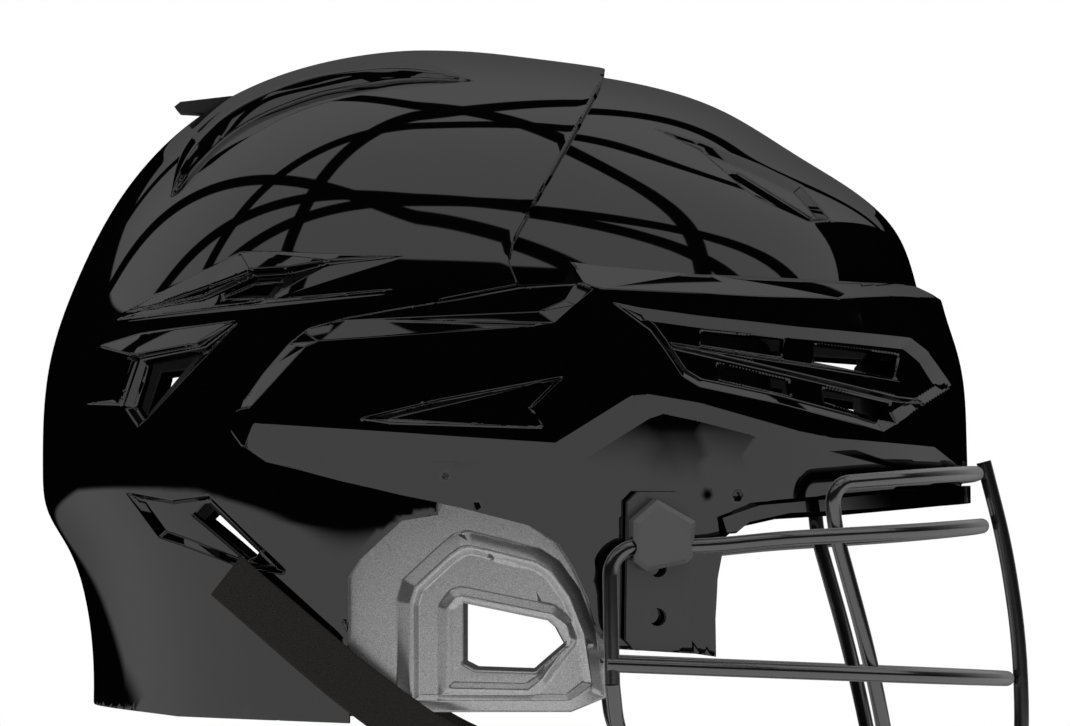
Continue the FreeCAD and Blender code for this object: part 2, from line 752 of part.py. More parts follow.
def padded_body(name, corners, height_alias, holes=()):
    """Pad an outline by a height from the sheet and drill round holes through it."""
    body = doc.addObject("PartDesign::Body", name)
    sketch = new_sketch(body, name + "_outline", "XY_Plane")
    rounded_outline(sketch, corners)
    pad = body.newObject("PartDesign::Pad", name + "_pad")
    pad.Profile = sketch
    pad.setExpression("Length", "dims." + height_alias)
    body.Tip = pad
    doc.recompute()
    if holes:
        drilled = new_sketch(body, name + "_holes", "XY_Plane")
        for index, (x, y, alias) in enumerate(holes):
            drilled.addGeometry(Part.Circle(Vector(x, y, 0), Vector(0, 0, 1), 2.0), False)
            constraint = drilled.addConstraint(Sketcher.Constraint("Diameter", index, 4.0))
            drilled.setExpression(f"Constraints[{constraint}]", "dims." + alias)
        pocket = body.newObject("PartDesign::Pocket", name + "_drill")
        pocket.Profile = drilled
        pocket.Type = "ThroughAll"
        pocket.Reversed = True
        body.Tip = pocket
        doc.recompute()
    return body


def group(label, master, placements):
    """Repeat one master solid at several places as one node of separate solids."""
    copies = []
    for placement in placements:
        copy = master.copy()
        copy.Placement = placement
        copies.append(copy)
    return feature(label, Part.makeCompound(copies))


def chamfered(width, height, cut):
    """Corners of a rectangle with its corners cut off, about the origin."""
    w, h = width / 2, height / 2
    return [(-w + cut, -h), (w - cut, -h), (w, -h + cut), (w, h - cut), (w - cut, h), (-w + cut, h),
            (-w, h - cut), (-w, -h + cut)]


def clip_parts(label, side):
    """Mask clip of one side: a drilled plate on the shell and a cover that holds the wire."""
    frame = clip_frame(side)
    flip = -side
    wide, long = dim("clip_plate_wide"), dim("clip_plate_long")
    plate = padded_body("clip_plate_" + label, chamfered(wide, long, 3.0), "clip_plate_thick",
                        [(0.0, -13.6, "clip_hole"), (0.0, 0.9, "clip_hole")])
    plate_shape = plate.Shape.copy()
    thick = dim("clip_plate_thick")
    for x, y in CLIP_SCREWS:
        reach = thick + 1.0 if y > 0 else thick - 0.6
        plate_shape = plate_shape.cut(Part.makeCylinder(dim("screw_radius"), reach, Vector(x * flip, y, 0.0)))
    plate_shape.Placement = frame.multiply(plate_shape.Placement)
    feature("mask_clip_plate_" + label, plate_shape)
    outline = [(-1.8, 21.5), (-9.1, 15.1), (-8.8, 3.3), (-4.8, 0.3), (7.4, 2.7), (9.2, 4.8), (9.8, 15.1)]
    cover = padded_body("clip_cover_" + label, [(x * flip, y) for x, y in outline], "clip_cover_thick")
    block = cover.Shape.copy()
    front_rim = [edge for edge in block.Edges
                 if all(abs(vertex.Z - dim("clip_cover_thick")) < 0.01 for vertex in edge.Vertexes)]
    block = block.makeChamfer(1.4, front_rim)
    x, y = CLIP_SCREWS[0]
    block = block.cut(Part.makeCylinder(dim("screw_radius"), 3.6, Vector(x * flip, y, 0.0)))
    block.Placement = frame.multiply(Placement(Vector(0, 0, thick), Rotation()))
    wire_room = rod(side_points(eye_points(), side)[:6], dim("wire_diameter") / 2 + 1.0)
    feature("mask_clip_cover_" + label, biggest(block.cut(wire_room)))
    sleeve_path = [frame.multVec(Vector(x * flip, y, dim("clip_wire_height"))) for x, y in
                   [(-1.0, 7.37), (8.6, 7.52)]]
    direction = sleeve_path[1] - sleeve_path[0]
    radius = dim("wire_diameter") / 2
    sleeve = Part.makeCylinder(radius + 0.9, direction.Length, sleeve_path[0], direction)
    sleeve = sleeve.cut(Part.makeCylinder(radius + 0.02, direction.Length, sleeve_path[0], direction))
    feature("mask_clip_sleeve_" + label, sleeve)


def side_points(points, side):
    """Return right-hand points, or their mirror image for the left."""
    return points if side < 0 else [Vector(point.x, -point.y, point.z) for point in points]


def clip_screw_places():
    """Placements of the four mask clip screws, their heads inside the shell."""
    places = []
    for _, side in SIDES:
        for x, y in CLIP_SCREWS:
            places.append((side, x * -side, y))
    return places


def release_lever():
    """Lever at the back of the crown: a flat tab on a barrel that turns on the pin."""
    x, z = LEVER_PIN
    half = dim("lever_wide") / 2
    tab = [(x, z + 2.6), (-84.0, 117.5), (-99.5, 115.7), (-101.4, 114.2), (-100.2, 112.8), (-90.0, 112.2),
           (x, z - 2.6)]
    shape = prism(tab, -half, half).fuse(across(dim("lever_barrel"), x, z, -half, half))
    return shape.cut(across(dim("lever_pin_radius") + dim("running_gap"), x, z)).removeSplitter()


def lever_bracket():
    """Bracket under the crown whose two ears carry the lever's pin."""
    x, z = LEVER_PIN
    half = dim("lever_wide") / 2 + 0.3
    ears = Part.makeBox(10.0, 2 * half + 6.0, 17.0, Vector(x - 5.0, -half - 3.0, z - 6.5))
    room = Part.makeBox(12.0, 2 * half, 20.0, Vector(x - 6.0, -half, z - 4.5))
    shape = ears.cut(room).common(body_at(-dim("wall")))
    return shape.cut(across(dim("lever_pin_radius"), x, z))


def cradle():
    """Nape cradle plate, bored for its two guide posts."""
    block = Part.makeBox(60.0, 84.0, 30.0, Vector(-150.0, -42.0, -61.0))
    shape = layer(-9.0, -9.0 - dim("cradle_wall"), block)
    for y in (-POST_PLACES[0], POST_PLACES[0]):
        hole = Part.makeCylinder(dim("post_radius") + dim("running_gap"), 60.0, Vector(-150.0, y, POST_LEVEL),
                                 Vector(1, 0, 0))
        shape = shape.cut(hole)
    return biggest(shape)


# Chin strap


STRAP_ROUTE = [(-82.4, -29.9), (-66.0, -44.0), (-46.0, -61.2), (-22.0, -79.0)]
STRAP_LIFT = [5.4, 4.6, 4.2, 3.0]
STRAP_FREE = [(8.0, -90.0, -92.5), (36.0, -77.0, -99.5), (60.0, -59.0, -106.0), (78.0, -45.0, -109.5)]


def strap_stations(side):
    """Centre line of a chin strap, close over the shell and then along the jaw to the cup."""
    points = []
    for (x, z), lift in zip(STRAP_ROUTE, STRAP_LIFT):
        points.append(Vector(x, -surface(lift).side(x, z), z))
    points += [Vector(*spot) for spot in STRAP_FREE]
    return side_points(points, side)


def strap_frames(side):
    """Give each station of a strap its along, outward and width directions."""
    points = strap_stations(side)
    frames = []
    for index, point in enumerate(points):
        before = points[max(0, index - 1)]
        after = points[min(len(points) - 1, index + 1)]
        along = (after - before).normalize()
        outward = Vector(along.y, -along.x, 0.0).normalize()
        if outward.y * side < 0:
            outward = -outward
        frames.append((point, along, outward, along.cross(outward).normalize()))
    return frames


def strap(side):
    """Flat webbing lofted through rectangles on the strap's centre line."""
    wide, thick = dim("strap_wide") / 2, dim("strap_thick") / 2
    wires = []
    for point, _, outward, across_way in strap_frames(side):
        corners = [point + across_way * (a * wide) + outward * (b * thick)
                   for a, b in ((-1, -1), (1, -1), (1, 1), (-1, 1))]
        wires.append(Part.makePolygon(corners + corners[:1]))
    return Part.makeLoft(wires, True, False)


def strap_slider(side):
    """Plastic slider that the strap runs through."""
    point, along, outward, across_way = strap_frames(side)[5]
    turn = FreeCAD.Matrix(
        along.x, across_way.x, outward.x, point.x,
        along.y, across_way.y, outward.y, point.y,
        along.z, across_way.z, outward.z, point.z,
        0, 0, 0, 1)
    wide = dim("strap_wide")
    block = Part.makeBox(18.0, wide + 6.0, 6.0, Vector(-9.0, -wide / 2 - 3.0, -3.0))
    block.Placement = Placement(turn)
    room = Part.makeBox(24.0, wide + 1.6, 3.6, Vector(-12.0, -wide / 2 - 0.8, -1.8))
    room.Placement = Placement(turn)
    return block.cut(room)


CUP_CENTRE = Vector(76.0, 0.0, -101.0)
CUP_RADII = (31.0, 43.0, 27.0)


def ellipsoid(centre, radii):
    """Return a ball stretched to three radii."""
    stretch = FreeCAD.Matrix()
    stretch.scale(*radii)
    shape = Part.makeSphere(1.0).transformGeometry(stretch)
    shape.translate(centre)
    return shape


def cup_shell(outer_step, inner_step):
    """Front and underside of the chin cup between two steps inside its outer radii."""
    outer = ellipsoid(CUP_CENTRE, [radius - outer_step for radius in CUP_RADII])
    inner = ellipsoid(CUP_CENTRE, [radius - inner_step for radius in CUP_RADII])
    block = Part.makeBox(80.0, 120.0, 80.0, Vector(0.0, -60.0, -40.0))
    block.Placement = Placement(CUP_CENTRE + Vector(2.0, 0, -3.0), Rotation(Vector(0, 1, 0), 38.0))
    return outer.cut(inner).common(block)


# Build every sub-part

feature("rear_shell", rear_shell())
feature("front_shell", front_shell())
for label, side in SIDES:
    feature("ear_guard_" + label, ear_guard(side))
feature("rear_liner", rear_liner())
feature("front_liner", front_liner())
brow_band = layer(4.4, -0.8, prism([
    (150.0, -1.4), (138.0, -2.4), (97.3, -7.0), (76.0, -9.0), (64.9, -12.8), (66.4, -17.5), (69.0, -17.3),
    (73.0, -13.9), (85.2, -11.2), (106.5, -10.0), (135.4, -7.6), (150.0, -6.8)]))
feature("brow_lip", biggest(brow_band))

pad_thick = dim("pad_thick")
rear_inner = -dim("rear_liner_in")
front_inner = -dim("front_liner_in")
feature("forehead_pad", cushion(wall_stations(front_inner - 1.8, 24.0, -19.0, 19.0), 33.0, pad_thick))
feature("front_crown_pad", cushion(crown_stations(front_inner, -6.0, 58.0), 46.0, pad_thick))
feature("rear_crown_pad", cushion(crown_stations(rear_inner, -66.0, -40.0, 7), 40.0, pad_thick - 1.5))
feature("nape_pad", cushion(wall_stations(rear_inner, 12.0, 158.0, 202.0), 34.0, pad_thick))
for label, side in SIDES:
    feature("temple_pad_" + label, cushion(wall_stations(front_inner, 30.0, 44.0 * side, 78.0 * side),
                                           34.0, pad_thick))
    feature("rear_side_pad_" + label, cushion(wall_stations(rear_inner, 58.0, 112.0 * side, 148.0 * side),
                                              28.0, pad_thick))

wire_radius = dim("wire_diameter") / 2
stack = dim("wire_stack")
feature("eye_wire", rod(mirrored(eye_points()), wire_radius))
feature("brow_wire", rod(mirrored(brow_points()), wire_radius))
feature("jaw_wire", rod(mirrored(jaw_points()), wire_radius))
feature("cheek_wire", rod(mirrored(level_bar(30.4, -56.2, -61.0, stack)), wire_radius))
feature("mouth_wire", rod(mirrored(level_bar(42.0, -88.0, -88.0, stack)), wire_radius))
feature("chin_wire", rod(mirrored(level_bar(76.0, -114.0, -116.0, stack)), wire_radius))
feature("centre_wire", rod(centre_points(), wire_radius))

for label, side in SIDES:
    clip_parts(label, side)
head, head_high = dim("screw_head_radius"), dim("screw_head_height")
shaft = dim("screw_radius")
clip_screw = turned_body("clip_screw", [(0.0, 0.0), (head - 0.6, 0.0), (head, 0.5), (head, head_high),
                                        (shaft, head_high), (shaft, dim("screw_long")),
                                        (0.0, dim("screw_long"))])
short_screw = turned_body("short_screw", [(0.0, 0.0), (head - 0.6, 0.0), (head, 0.5), (head, head_high),
                                          (shaft, head_high), (shaft, 6.6), (0.0, 6.6)])
long_places = []
short_places = []
seat = -dim("wall") - 0.65
for side, x, y in clip_screw_places():
    spot = clip_frame(side).multiply(Placement(Vector(x, y, seat - head_high), Rotation()))
    (long_places if y > 0 else short_places).append(spot)
screws = [clip_screw.Shape.copy() for _ in long_places] + [short_screw.Shape.copy() for _ in short_places]
for copy, place in zip(screws, long_places + short_places):
    copy.Placement = place
feature("mask_clip_screws", Part.makeCompound(screws))

feature("slide_studs", Part.makeCompound([slide_stud(x, z, side) for x, z in SLIDE_STUDS for _, side in SIDES]))
feature("slide_washers", Part.makeCompound([slide_washer(x, z, side) for x, z in SLIDE_STUDS
                                            for _, side in SIDES]))

ear_screws = []
ear_nuts = []
for _, side in SIDES:
    for x, z in EAR_SCREWS:
        skin = surface(0.0).side(x, z)
        top, foot = skin - 0.25, skin - 9.6
        low, high = sorted((side * top, side * foot))
        head_low, head_top = sorted((side * top, side * (top - dim("screw_head_height") + 0.25)))
        screw = across(dim("screw_radius") - 0.02, x, z, low, high)
        screw = screw.fuse(across(dim("screw_head_radius") - 0.1, x, z, head_low, head_top))
        ear_screws.append(screw.removeSplitter())
        nut_top = skin - dim("ear_inset") - dim("ear_wall") - 0.6
        low, high = sorted((side * nut_top, side * (nut_top - 2.0)))
        nut = across(3.8, x, z, low, high).cut(across(dim("screw_radius") - 0.02, x, z))
        ear_nuts.append(nut)
feature("ear_guard_screws", Part.makeCompound(ear_screws))
feature("ear_guard_nuts", Part.makeCompound(ear_nuts))

feature("release_lever", release_lever())
feature("lever_bracket", lever_bracket())
lever_half = dim("lever_wide") / 2 + 3.3
pin = doc.addObject("Part::Cylinder", "lever_pin")
pin.setExpression("Radius", "dims.lever_pin_radius")
pin.setExpression("Height", "dims.lever_wide + 6.6")
pin.Placement = Placement(Vector(LEVER_PIN[0], lever_half, LEVER_PIN[1]), Rotation(Vector(1, 0, 0), 90.0))
keep(pin, "lever_pin")

feature("cradle_posts", Part.makeCompound([post(-POST_PLACES[0]), post(POST_PLACES[0])]))
feature("nape_cradle", cradle())
feature("nape_cradle_pad", cushion(wall_stations(-9.0 - dim("cradle_wall"), -46.0, 168.5, 191.5), 24.0, 9.0))

for label, side in SIDES:
    feature("chin_strap_" + label, strap(side))
    feature("strap_slider_" + label, strap_slider(side))
    x, z = STRAP_ANCHOR
    skin = surface(0.0).side(x, z)
    low, high = sorted((side * (skin - 6.4), side * (skin + 3.6)))
    anchor = across(3.0, x, z, low, high)
    low, high = sorted((side * (skin - 6.4), side * (skin - 8.2)))
    feature("strap_anchor_" + label, anchor.fuse(across(5.5, x, z, low, high)).removeSplitter())
    low, high = sorted((side * (skin + 2.4), side * (skin + 4.8)))
    socket = across(dim("snap_radius"), x, z, low, high)
    socket = socket.cut(across(3.0 + dim("running_gap"), x, z, -skin - 3.8, skin + 3.8))
    feature("strap_socket_" + label, socket)
feature("chin_cup", biggest(cup_shell(0.0, dim("cup_wall"))))
feature("chin_cup_pad", biggest(cup_shell(dim("cup_wall") + 0.1, dim("cup_wall") + 6.0)))

doc.recompute()
failed = [obj.Name for obj in doc.Objects if {"Invalid", "Error"} & set(obj.State)]
if failed:
    raise RuntimeError("failed objects: " + ", ".join(failed))
os.makedirs("parts", exist_ok=True)
for node in nodes:
    shape = node.Shape
    if shape.isNull() or not shape.isValid():
        raise RuntimeError(node.Label + " has no valid shape")
    shape.exportStep(os.path.join("parts", node.Label + ".step"))
    print(node.Label, len(shape.Solids), round(shape.Volume / 1000.0, 2), "cm3")
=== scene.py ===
"""Looks of a box-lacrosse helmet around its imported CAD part.

Frame: +X towards the face, +Y to the wearer's left, +Z up. Measures are in millimetres
until a mesh is made, which is in metres. The shells, ear guards, pads and straps are
numpy surfaces or simulated cushions; the wires, clips and fasteners are the CAD nodes.
"""

import json
import logging
import math
from dataclasses import dataclass
from enum import Enum

import bpy
import numpy as np
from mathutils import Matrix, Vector, geometry, kdtree


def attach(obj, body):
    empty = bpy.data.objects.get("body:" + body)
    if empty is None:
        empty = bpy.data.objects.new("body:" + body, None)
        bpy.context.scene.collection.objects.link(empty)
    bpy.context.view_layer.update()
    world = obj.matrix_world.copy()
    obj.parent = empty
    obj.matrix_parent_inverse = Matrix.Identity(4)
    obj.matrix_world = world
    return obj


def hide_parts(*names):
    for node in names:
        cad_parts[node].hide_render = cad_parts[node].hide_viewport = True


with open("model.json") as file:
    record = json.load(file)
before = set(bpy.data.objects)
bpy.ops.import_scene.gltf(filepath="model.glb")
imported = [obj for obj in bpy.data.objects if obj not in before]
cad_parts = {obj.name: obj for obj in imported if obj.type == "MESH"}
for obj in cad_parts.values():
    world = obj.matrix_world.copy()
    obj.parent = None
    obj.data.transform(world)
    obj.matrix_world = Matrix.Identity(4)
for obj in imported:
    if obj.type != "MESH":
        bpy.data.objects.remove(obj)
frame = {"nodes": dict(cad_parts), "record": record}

MM = 0.001
logging.basicConfig(level=logging.INFO, format="%(message)s")
log = logging.getLogger("helmet")

Line = np.ndarray


def line(*pairs: tuple[float, float]) -> Line:
    """Make a side-view line from (x, z) pairs.

    Args:
        pairs: the corners in order.

    Returns:
        An array with one row for each corner.
    """
    return np.array(pairs, float)


# Mid-plane outline of the base surface, from the neck over the crown to the face: (x, z).
MIDDLE_OUTLINE = line(
    (-127, -86), (-126.3, -55), (-128.6, -36.8), (-134, -21), (-140.5, -9), (-141.8, 3), (-139.4, 36.8),
    (-131.1, 61.4), (-118.2, 86), (-96.7, 109.3), (-69.1, 124), (-47, 129.6), (-25, 131.7), (-7.7, 131.1),
    (10.7, 128.9), (42, 124.1), (67.2, 116.2), (92.3, 101.2), (123.6, 75.7), (129.1, 60.3), (132, 49),
    (136, 36), (138.2, 12), (138.6, -5), (138, -40), (135.5, -86))

# Side-view lines of the shell, as (x, z) on the visible surface.
SEAM = line((33, 134), (31, 127), (29.5, 120.7), (22.7, 106.8), (14.3, 91.1), (3.3, 70.6), (1.8, 63),
            (4.5, 56.4))
REAR_HIDDEN = line((-13, 53), (-19, 51.8), (-19.5, -12), (-30.2, -13.7), (-42.7, -25.2), (-46.2, -30.6),
                   (-46.3, -74), (-100, -72), (-150, -66), (-190, -60))
DOME_REAR = line((10, 150), (5, 121), (-3, 105), (-12, 90), (-19, 70), (-20, 55.5), (18, 57.2))
CREASE = line((19.6, 63.7), (28.5, 62.5), (58.4, 60.1), (110.3, 58.7), (127.4, 58.9), (160, 60.5))
BEVEL = line((21.6, 57.4), (24, 56.8), (28.5, 55.3), (76.2, 53.5), (100.5, 53.4), (117, 54.6), (160, 55.5))
ARM_TOP = line((-81.2, 12.7), (-78.8, 21.9), (-72.8, 30.4), (-65, 39.3), (-58, 44.2), (-47, 47), (-31, 49.8),
               (-13, 52.6), (5, 56), (23.6, 57.2))
ARM_BOTTOM = line((160, -2.5), (138, -4), (97.3, -8.3), (76, -10.3), (64.9, -14), (66.2, -22.8), (64.7, -31),
                  (64.1, -43), (64.4, -54.3), (58.2, -53.4), (32.9, -51.9), (27.5, -44.5), (25.5, -37),
                  (21, -27.6), (16.6, -20.8), (7.7, -15.2), (-13, -9.9), (-30.7, -6.4), (-48.4, -2.2),
                  (-60.3, 1.1), (-71.6, 3.8), (-78.2, 8.5))
LAND_TOP = line((-85, 19), (-82, 26), (-74, 34), (-66, 43), (-59, 47), (-47, 49), (-31, 52), (-13, 54.6),
                (5, 58), (21, 59.5))
RAIL_OUT = line((-80.5, 19), (-79, 22.2), (-72.8, 30.4), (-65.1, 39.3), (-61, 43.5), (-47.1, 46.1),
                (10.4, 48.5), (18.1, 51.8), (21.6, 57.4))
RAIL_IN = line((-75, 20), (-58.6, 37.8), (-54.8, 39.3), (9.5, 43.8), (15.1, 44.9), (21, 50.3), (27, 55.3))
SPEAR_TOP = line((-42.6, 16.4), (-18.9, 22.1), (17.5, 28.9))
SPEAR_LOW = line((-42.6, 16.4), (-34, 16.4), (8, 19.5))
SPEAR_FOOT = line((-42.6, 16.4), (-33.1, 15), (10.4, 13.7), (11.6, 14.4))
BAND_FOOT = line((-80.5, 7.5), (-72, 2), (-60.3, -1), (-48.4, -4.2), (-13, -12), (5, -17), (14, -23),
                 (20, -31), (25, -46), (31, -56), (58.2, -57), (67, -57), (67, -43), (68, -23),
                 (67.5, -15.5), (97.3, -10.5), (138, -6.5), (160, -5))
BAND_TOP = line((-74.1, 15.3), (15.1, 9.2), (37.9, 23.6), (42.3, 23.9), (58.1, 21.3), (88.1, 13),
                (97.2, 11.3), (129.9, 9.2), (139.5, 2.7), (160, 2.6))
BAND_LOW = line((-76.7, 8.5), (-21.9, 4.1), (22.5, 3.8), (43.2, 16.8), (47.7, 18.3), (58.1, 16.2),
                (75.8, 11.8), (96.6, 7.3), (120.2, 2.6), (136, -0.6), (160, -0.4))
FRONT_VENT = line((32, 51.2), (40.3, 49.5), (58.2, 47.2), (88.2, 44.3), (122.8, 42), (128.5, 38),
                  (136.2, 27.5), (113.5, 13.3), (106.4, 15.3), (82.1, 21.3), (58.1, 26.1), (52.8, 29.3),
                  (47.7, 37), (43.3, 42.9))
FRONT_BLADE = line((49.5, 39.6), (120.2, 29.6), (127.2, 22.2), (118.5, 22.9), (49.8, 37.9))
FRONT_SLOTS = (
    line((59.3, 43.1), (84.6, 41.3), (83.6, 35.9), (59.3, 39.2)),
    line((94.2, 39.7), (120.5, 37.3), (118.9, 29.9), (93.6, 34.5)),
    line((64.1, 33.3), (86, 28.5), (86.6, 24), (64.7, 28.8)),
    line((96.6, 26.2), (117.6, 22.2), (117.9, 16.1), (96.6, 22.6)))
CROWN_VENT = line((44.7, 105.3), (58.9, 101.3), (77.1, 94.3), (89.3, 88.5), (98.5, 77.6), (91.9, 76.7),
                  (75.5, 83.7), (70.8, 87.6), (58.8, 98.4))
CROWN_SLOT = line((67.2, 92.9), (70.9, 93.1), (93.5, 79), (91.3, 77.6))
SCOOP_TOP = line((-115.2, 49), (-78.6, 66.5), (-72.6, 66.7), (-29.3, 65))
SCOOP_LIP = line((-115.2, 49), (-90.5, 52.9), (-74.9, 60.4), (-64.1, 60.9), (-51.6, 63.2), (-29.3, 65))
SCOOP_LOW = line((-116.5, 47), (-74, 50.4), (-32, 53.8))
SCOOP_SLOT = line((-84, 53), (-75, 57), (-66, 57.8), (-68.6, 53))
REAR_VENT_TOP = line((-122.7, 39.3), (-108.8, 42.8), (-79.6, 46.1))
REAR_VENT_LIP = line((-122.7, 39.3), (-111.9, 36.2), (-108.8, 35.5), (-90.4, 38.6), (-79.6, 46.1))
REAR_VENT_BACK = line((-127.1, 22), (-117.4, 22.9), (-112.8, 35.6))
REAR_VENT_EDGE = line((-127.1, 22), (-114.2, 21.3), (-109.6, 34.8))
REAR_VENT = line((-108.8, 34.6), (-88.9, 38.1), (-79, 45.5), (-106.5, 17.2), (-109.6, 14.6), (-113.7, 20.4))
REAR_SLOT = line((-108, 33.8), (-91, 36.8), (-106.6, 19.2), (-109.2, 16.8), (-112, 20.8))
LOWER_VENT = line((-113.3, -4.7), (-99.5, -7.3), (-87.9, -5.9), (-64.9, -28.2), (-65.2, -29.7),
                  (-78.4, -27.3), (-96.5, -20.7), (-103.2, -18.5))
LOWER_SLOT = line((-91.3, -8.8), (-88.5, -8.5), (-73.5, -22.8), (-74.7, -24.4), (-77.6, -25.6), (-94.2, -12))
FIN_RISE = line((-100.5, 83.8), (-96.5, 100.5), (-84, 113), (-70.5, 119.8), (-57.2, 124), (-44, 126.2),
                (-30, 126.8), (-9, 119.4))
FIN_TOP = line((-100.5, 83.8), (-93.2, 98.4), (-81, 109.6), (-68.5, 115.7), (-56.1, 119.7), (-43.7, 121.5),
               (-31.5, 122.4), (-9, 119.4))
FIN = line((-100.5, 83.8), (-91.6, 97), (-79.7, 107.7), (-67.7, 113.7), (-55.6, 117.6), (-43.5, 119.6),
           (-31.5, 120.9), (-9, 119.4))
FIN_LOW = line((-100.5, 83.8), (-95.1, 86.7), (-90.7, 91.1), (-83.8, 97.2), (-73.4, 104), (-60.7, 110.4),
               (-49.4, 113.9), (-33.2, 116.6), (-9, 119.4))
EAR_SIDE = line((-51, -70.5), (-51, -29.5), (-44, -20), (-42, -3), (-11, -3), (9, -12), (24, -26), (31, -44),
                (31, -66), (20, -70.5), (-36, -70.5))
EAR_BEAD_OUT = line((-31.7, -70.5), (-31.7, -37.1), (-29.9, -31.1), (-18.9, -20.8), (-14.5, -17.5),
                    (-10.1, -16.9), (10.7, -22), (16.6, -25.8), (22.5, -34.1), (27, -46), (30, -66),
                    (20, -70.5))
EAR_BEAD_IN = line((-26.9, -67), (-26.9, -38), (-25.5, -33.5), (-15.8, -24.6), (-12.6, -22.4), (-9.6, -21.8),
                   (9.2, -26.4), (13.2, -29), (18.6, -36.2), (23.2, -47), (25.6, -62), (19, -67))
EAR_RING_OUT = line((-19.6, -66), (-19.5, -38.6), (-16, -34.1), (-12.4, -33.2), (15.1, -38.8), (20.5, -43),
                    (22, -48.9), (12.5, -62.5), (8, -66.5))
EAR_RING_IN = line((-16.4, -63), (-16.4, -39.2), (-13.6, -36.3), (14.2, -41.6), (17.9, -44.5), (19.6, -49.4),
                   (10.6, -61), (7, -63.5))
EAR_HOLE = line((-12.1, -38), (13.4, -43.3), (15.7, -45.4), (18.4, -50.4), (9.2, -58.4), (-8.6, -57.8),
                (-12.1, -56))


def smooth_curve(points: Line, count: int) -> Line:
    """Run a natural cubic spline through points, by chord length.

    Args:
        points: corners that the curve passes through.
        count: number of samples.

    Returns:
        Samples along the curve, one row each.
    """
    chords = np.hypot(*np.diff(points, axis=0).T)
    knots = np.concatenate([[0.0], np.cumsum(chords)])
    size = len(points)
    matrix = np.eye(size)
    right = np.zeros_like(points)
    slopes = np.diff(points, axis=0) / chords[:, None]
    for row in range(1, size - 1):
        matrix[row, row - 1:row + 2] = chords[row - 1], 2 * (chords[row - 1] + chords[row]), chords[row]
        right[row] = 6 * (slopes[row] - slopes[row - 1])
    bend = np.linalg.solve(matrix, right)
    spots = np.linspace(0, knots[-1], count)
    part = np.clip(np.searchsorted(knots, spots, side="right") - 1, 0, size - 2)
    width = chords[part][:, None]
    before = (spots - knots[part])[:, None]
    after = width - before
    return (bend[part] * after ** 3 / (6 * width) + bend[part + 1] * before ** 3 / (6 * width)
            + (points[part] / width - bend[part] * width / 6) * after
            + (points[part + 1] / width - bend[part + 1] * width / 6) * before)


def dense(points: Line, step: float, closed: bool = False) -> Line:
    """Put points along a line at no more than a step apart, keeping its corners."""
    ends = np.vstack([points, points[:1]]) if closed else points
    rows = []
    for start, end in zip(ends, ends[1:]):
        pieces = max(1, math.ceil(float(np.hypot(*(end - start))) / step))
        share = np.arange(pieces)[:, None] / pieces
        rows.append(start + (end - start) * share)
    if not closed:
        rows.append(ends[-1:])
    return np.vstack(rows)


def along(points: Line) -> np.ndarray:
    """Share of a line's length at each of its corners."""
    run = np.concatenate([[0.0], np.cumsum(np.hypot(*np.diff(points, axis=0).T))])
    return run / run[-1]


def beside(points: Line, gap: float, closed: bool = False) -> Line:
    """Move every point of a line sideways by a gap, square to its run."""
    ahead, behind = np.roll(points, -1, axis=0), np.roll(points, 1, axis=0)
    if not closed:
        ahead[-1], behind[0] = points[-1], points[0]
    run = ahead - behind
    run /= np.maximum(np.hypot(*run.T), 1e-9)[:, None]
    return points + gap * np.column_stack([-run[:, 1], run[:, 0]])


def distance(points: np.ndarray, target: Line, closed: bool = False) -> np.ndarray:
    """Shortest distance from each point to a line of straight pieces."""
    ends = np.vstack([target, target[:1]]) if closed else target
    best = np.full(len(points), np.inf)
    for start, end in zip(ends, ends[1:]):
        run = end - start
        share = np.clip(((points - start) @ run) / max(run @ run, 1e-12), 0, 1)
        away = points - start - share[:, None] * run
        best = np.minimum(best, (away ** 2).sum(1))
    return np.sqrt(best)


def within(points: np.ndarray, outline: Line) -> np.ndarray:
    """Tell which points lie inside a closed outline, by counting edges to their right."""
    inside = np.zeros(len(points), bool)
    x, z = points.T
    for start, end in zip(outline, np.roll(outline, -1, axis=0)):
        spans = (start[1] > z) != (end[1] > z)
        if spans.any():
            cut = start[0] + (z - start[1]) / (end[1] - start[1] + 1e-15) * (end[0] - start[0])
            inside ^= spans & (x < cut)
    return inside


def ease(share: np.ndarray) -> np.ndarray:
    """Smooth step from 0 to 1 with level ends."""
    share = np.clip(share, 0, 1)
    return share * share * (3 - 2 * share)


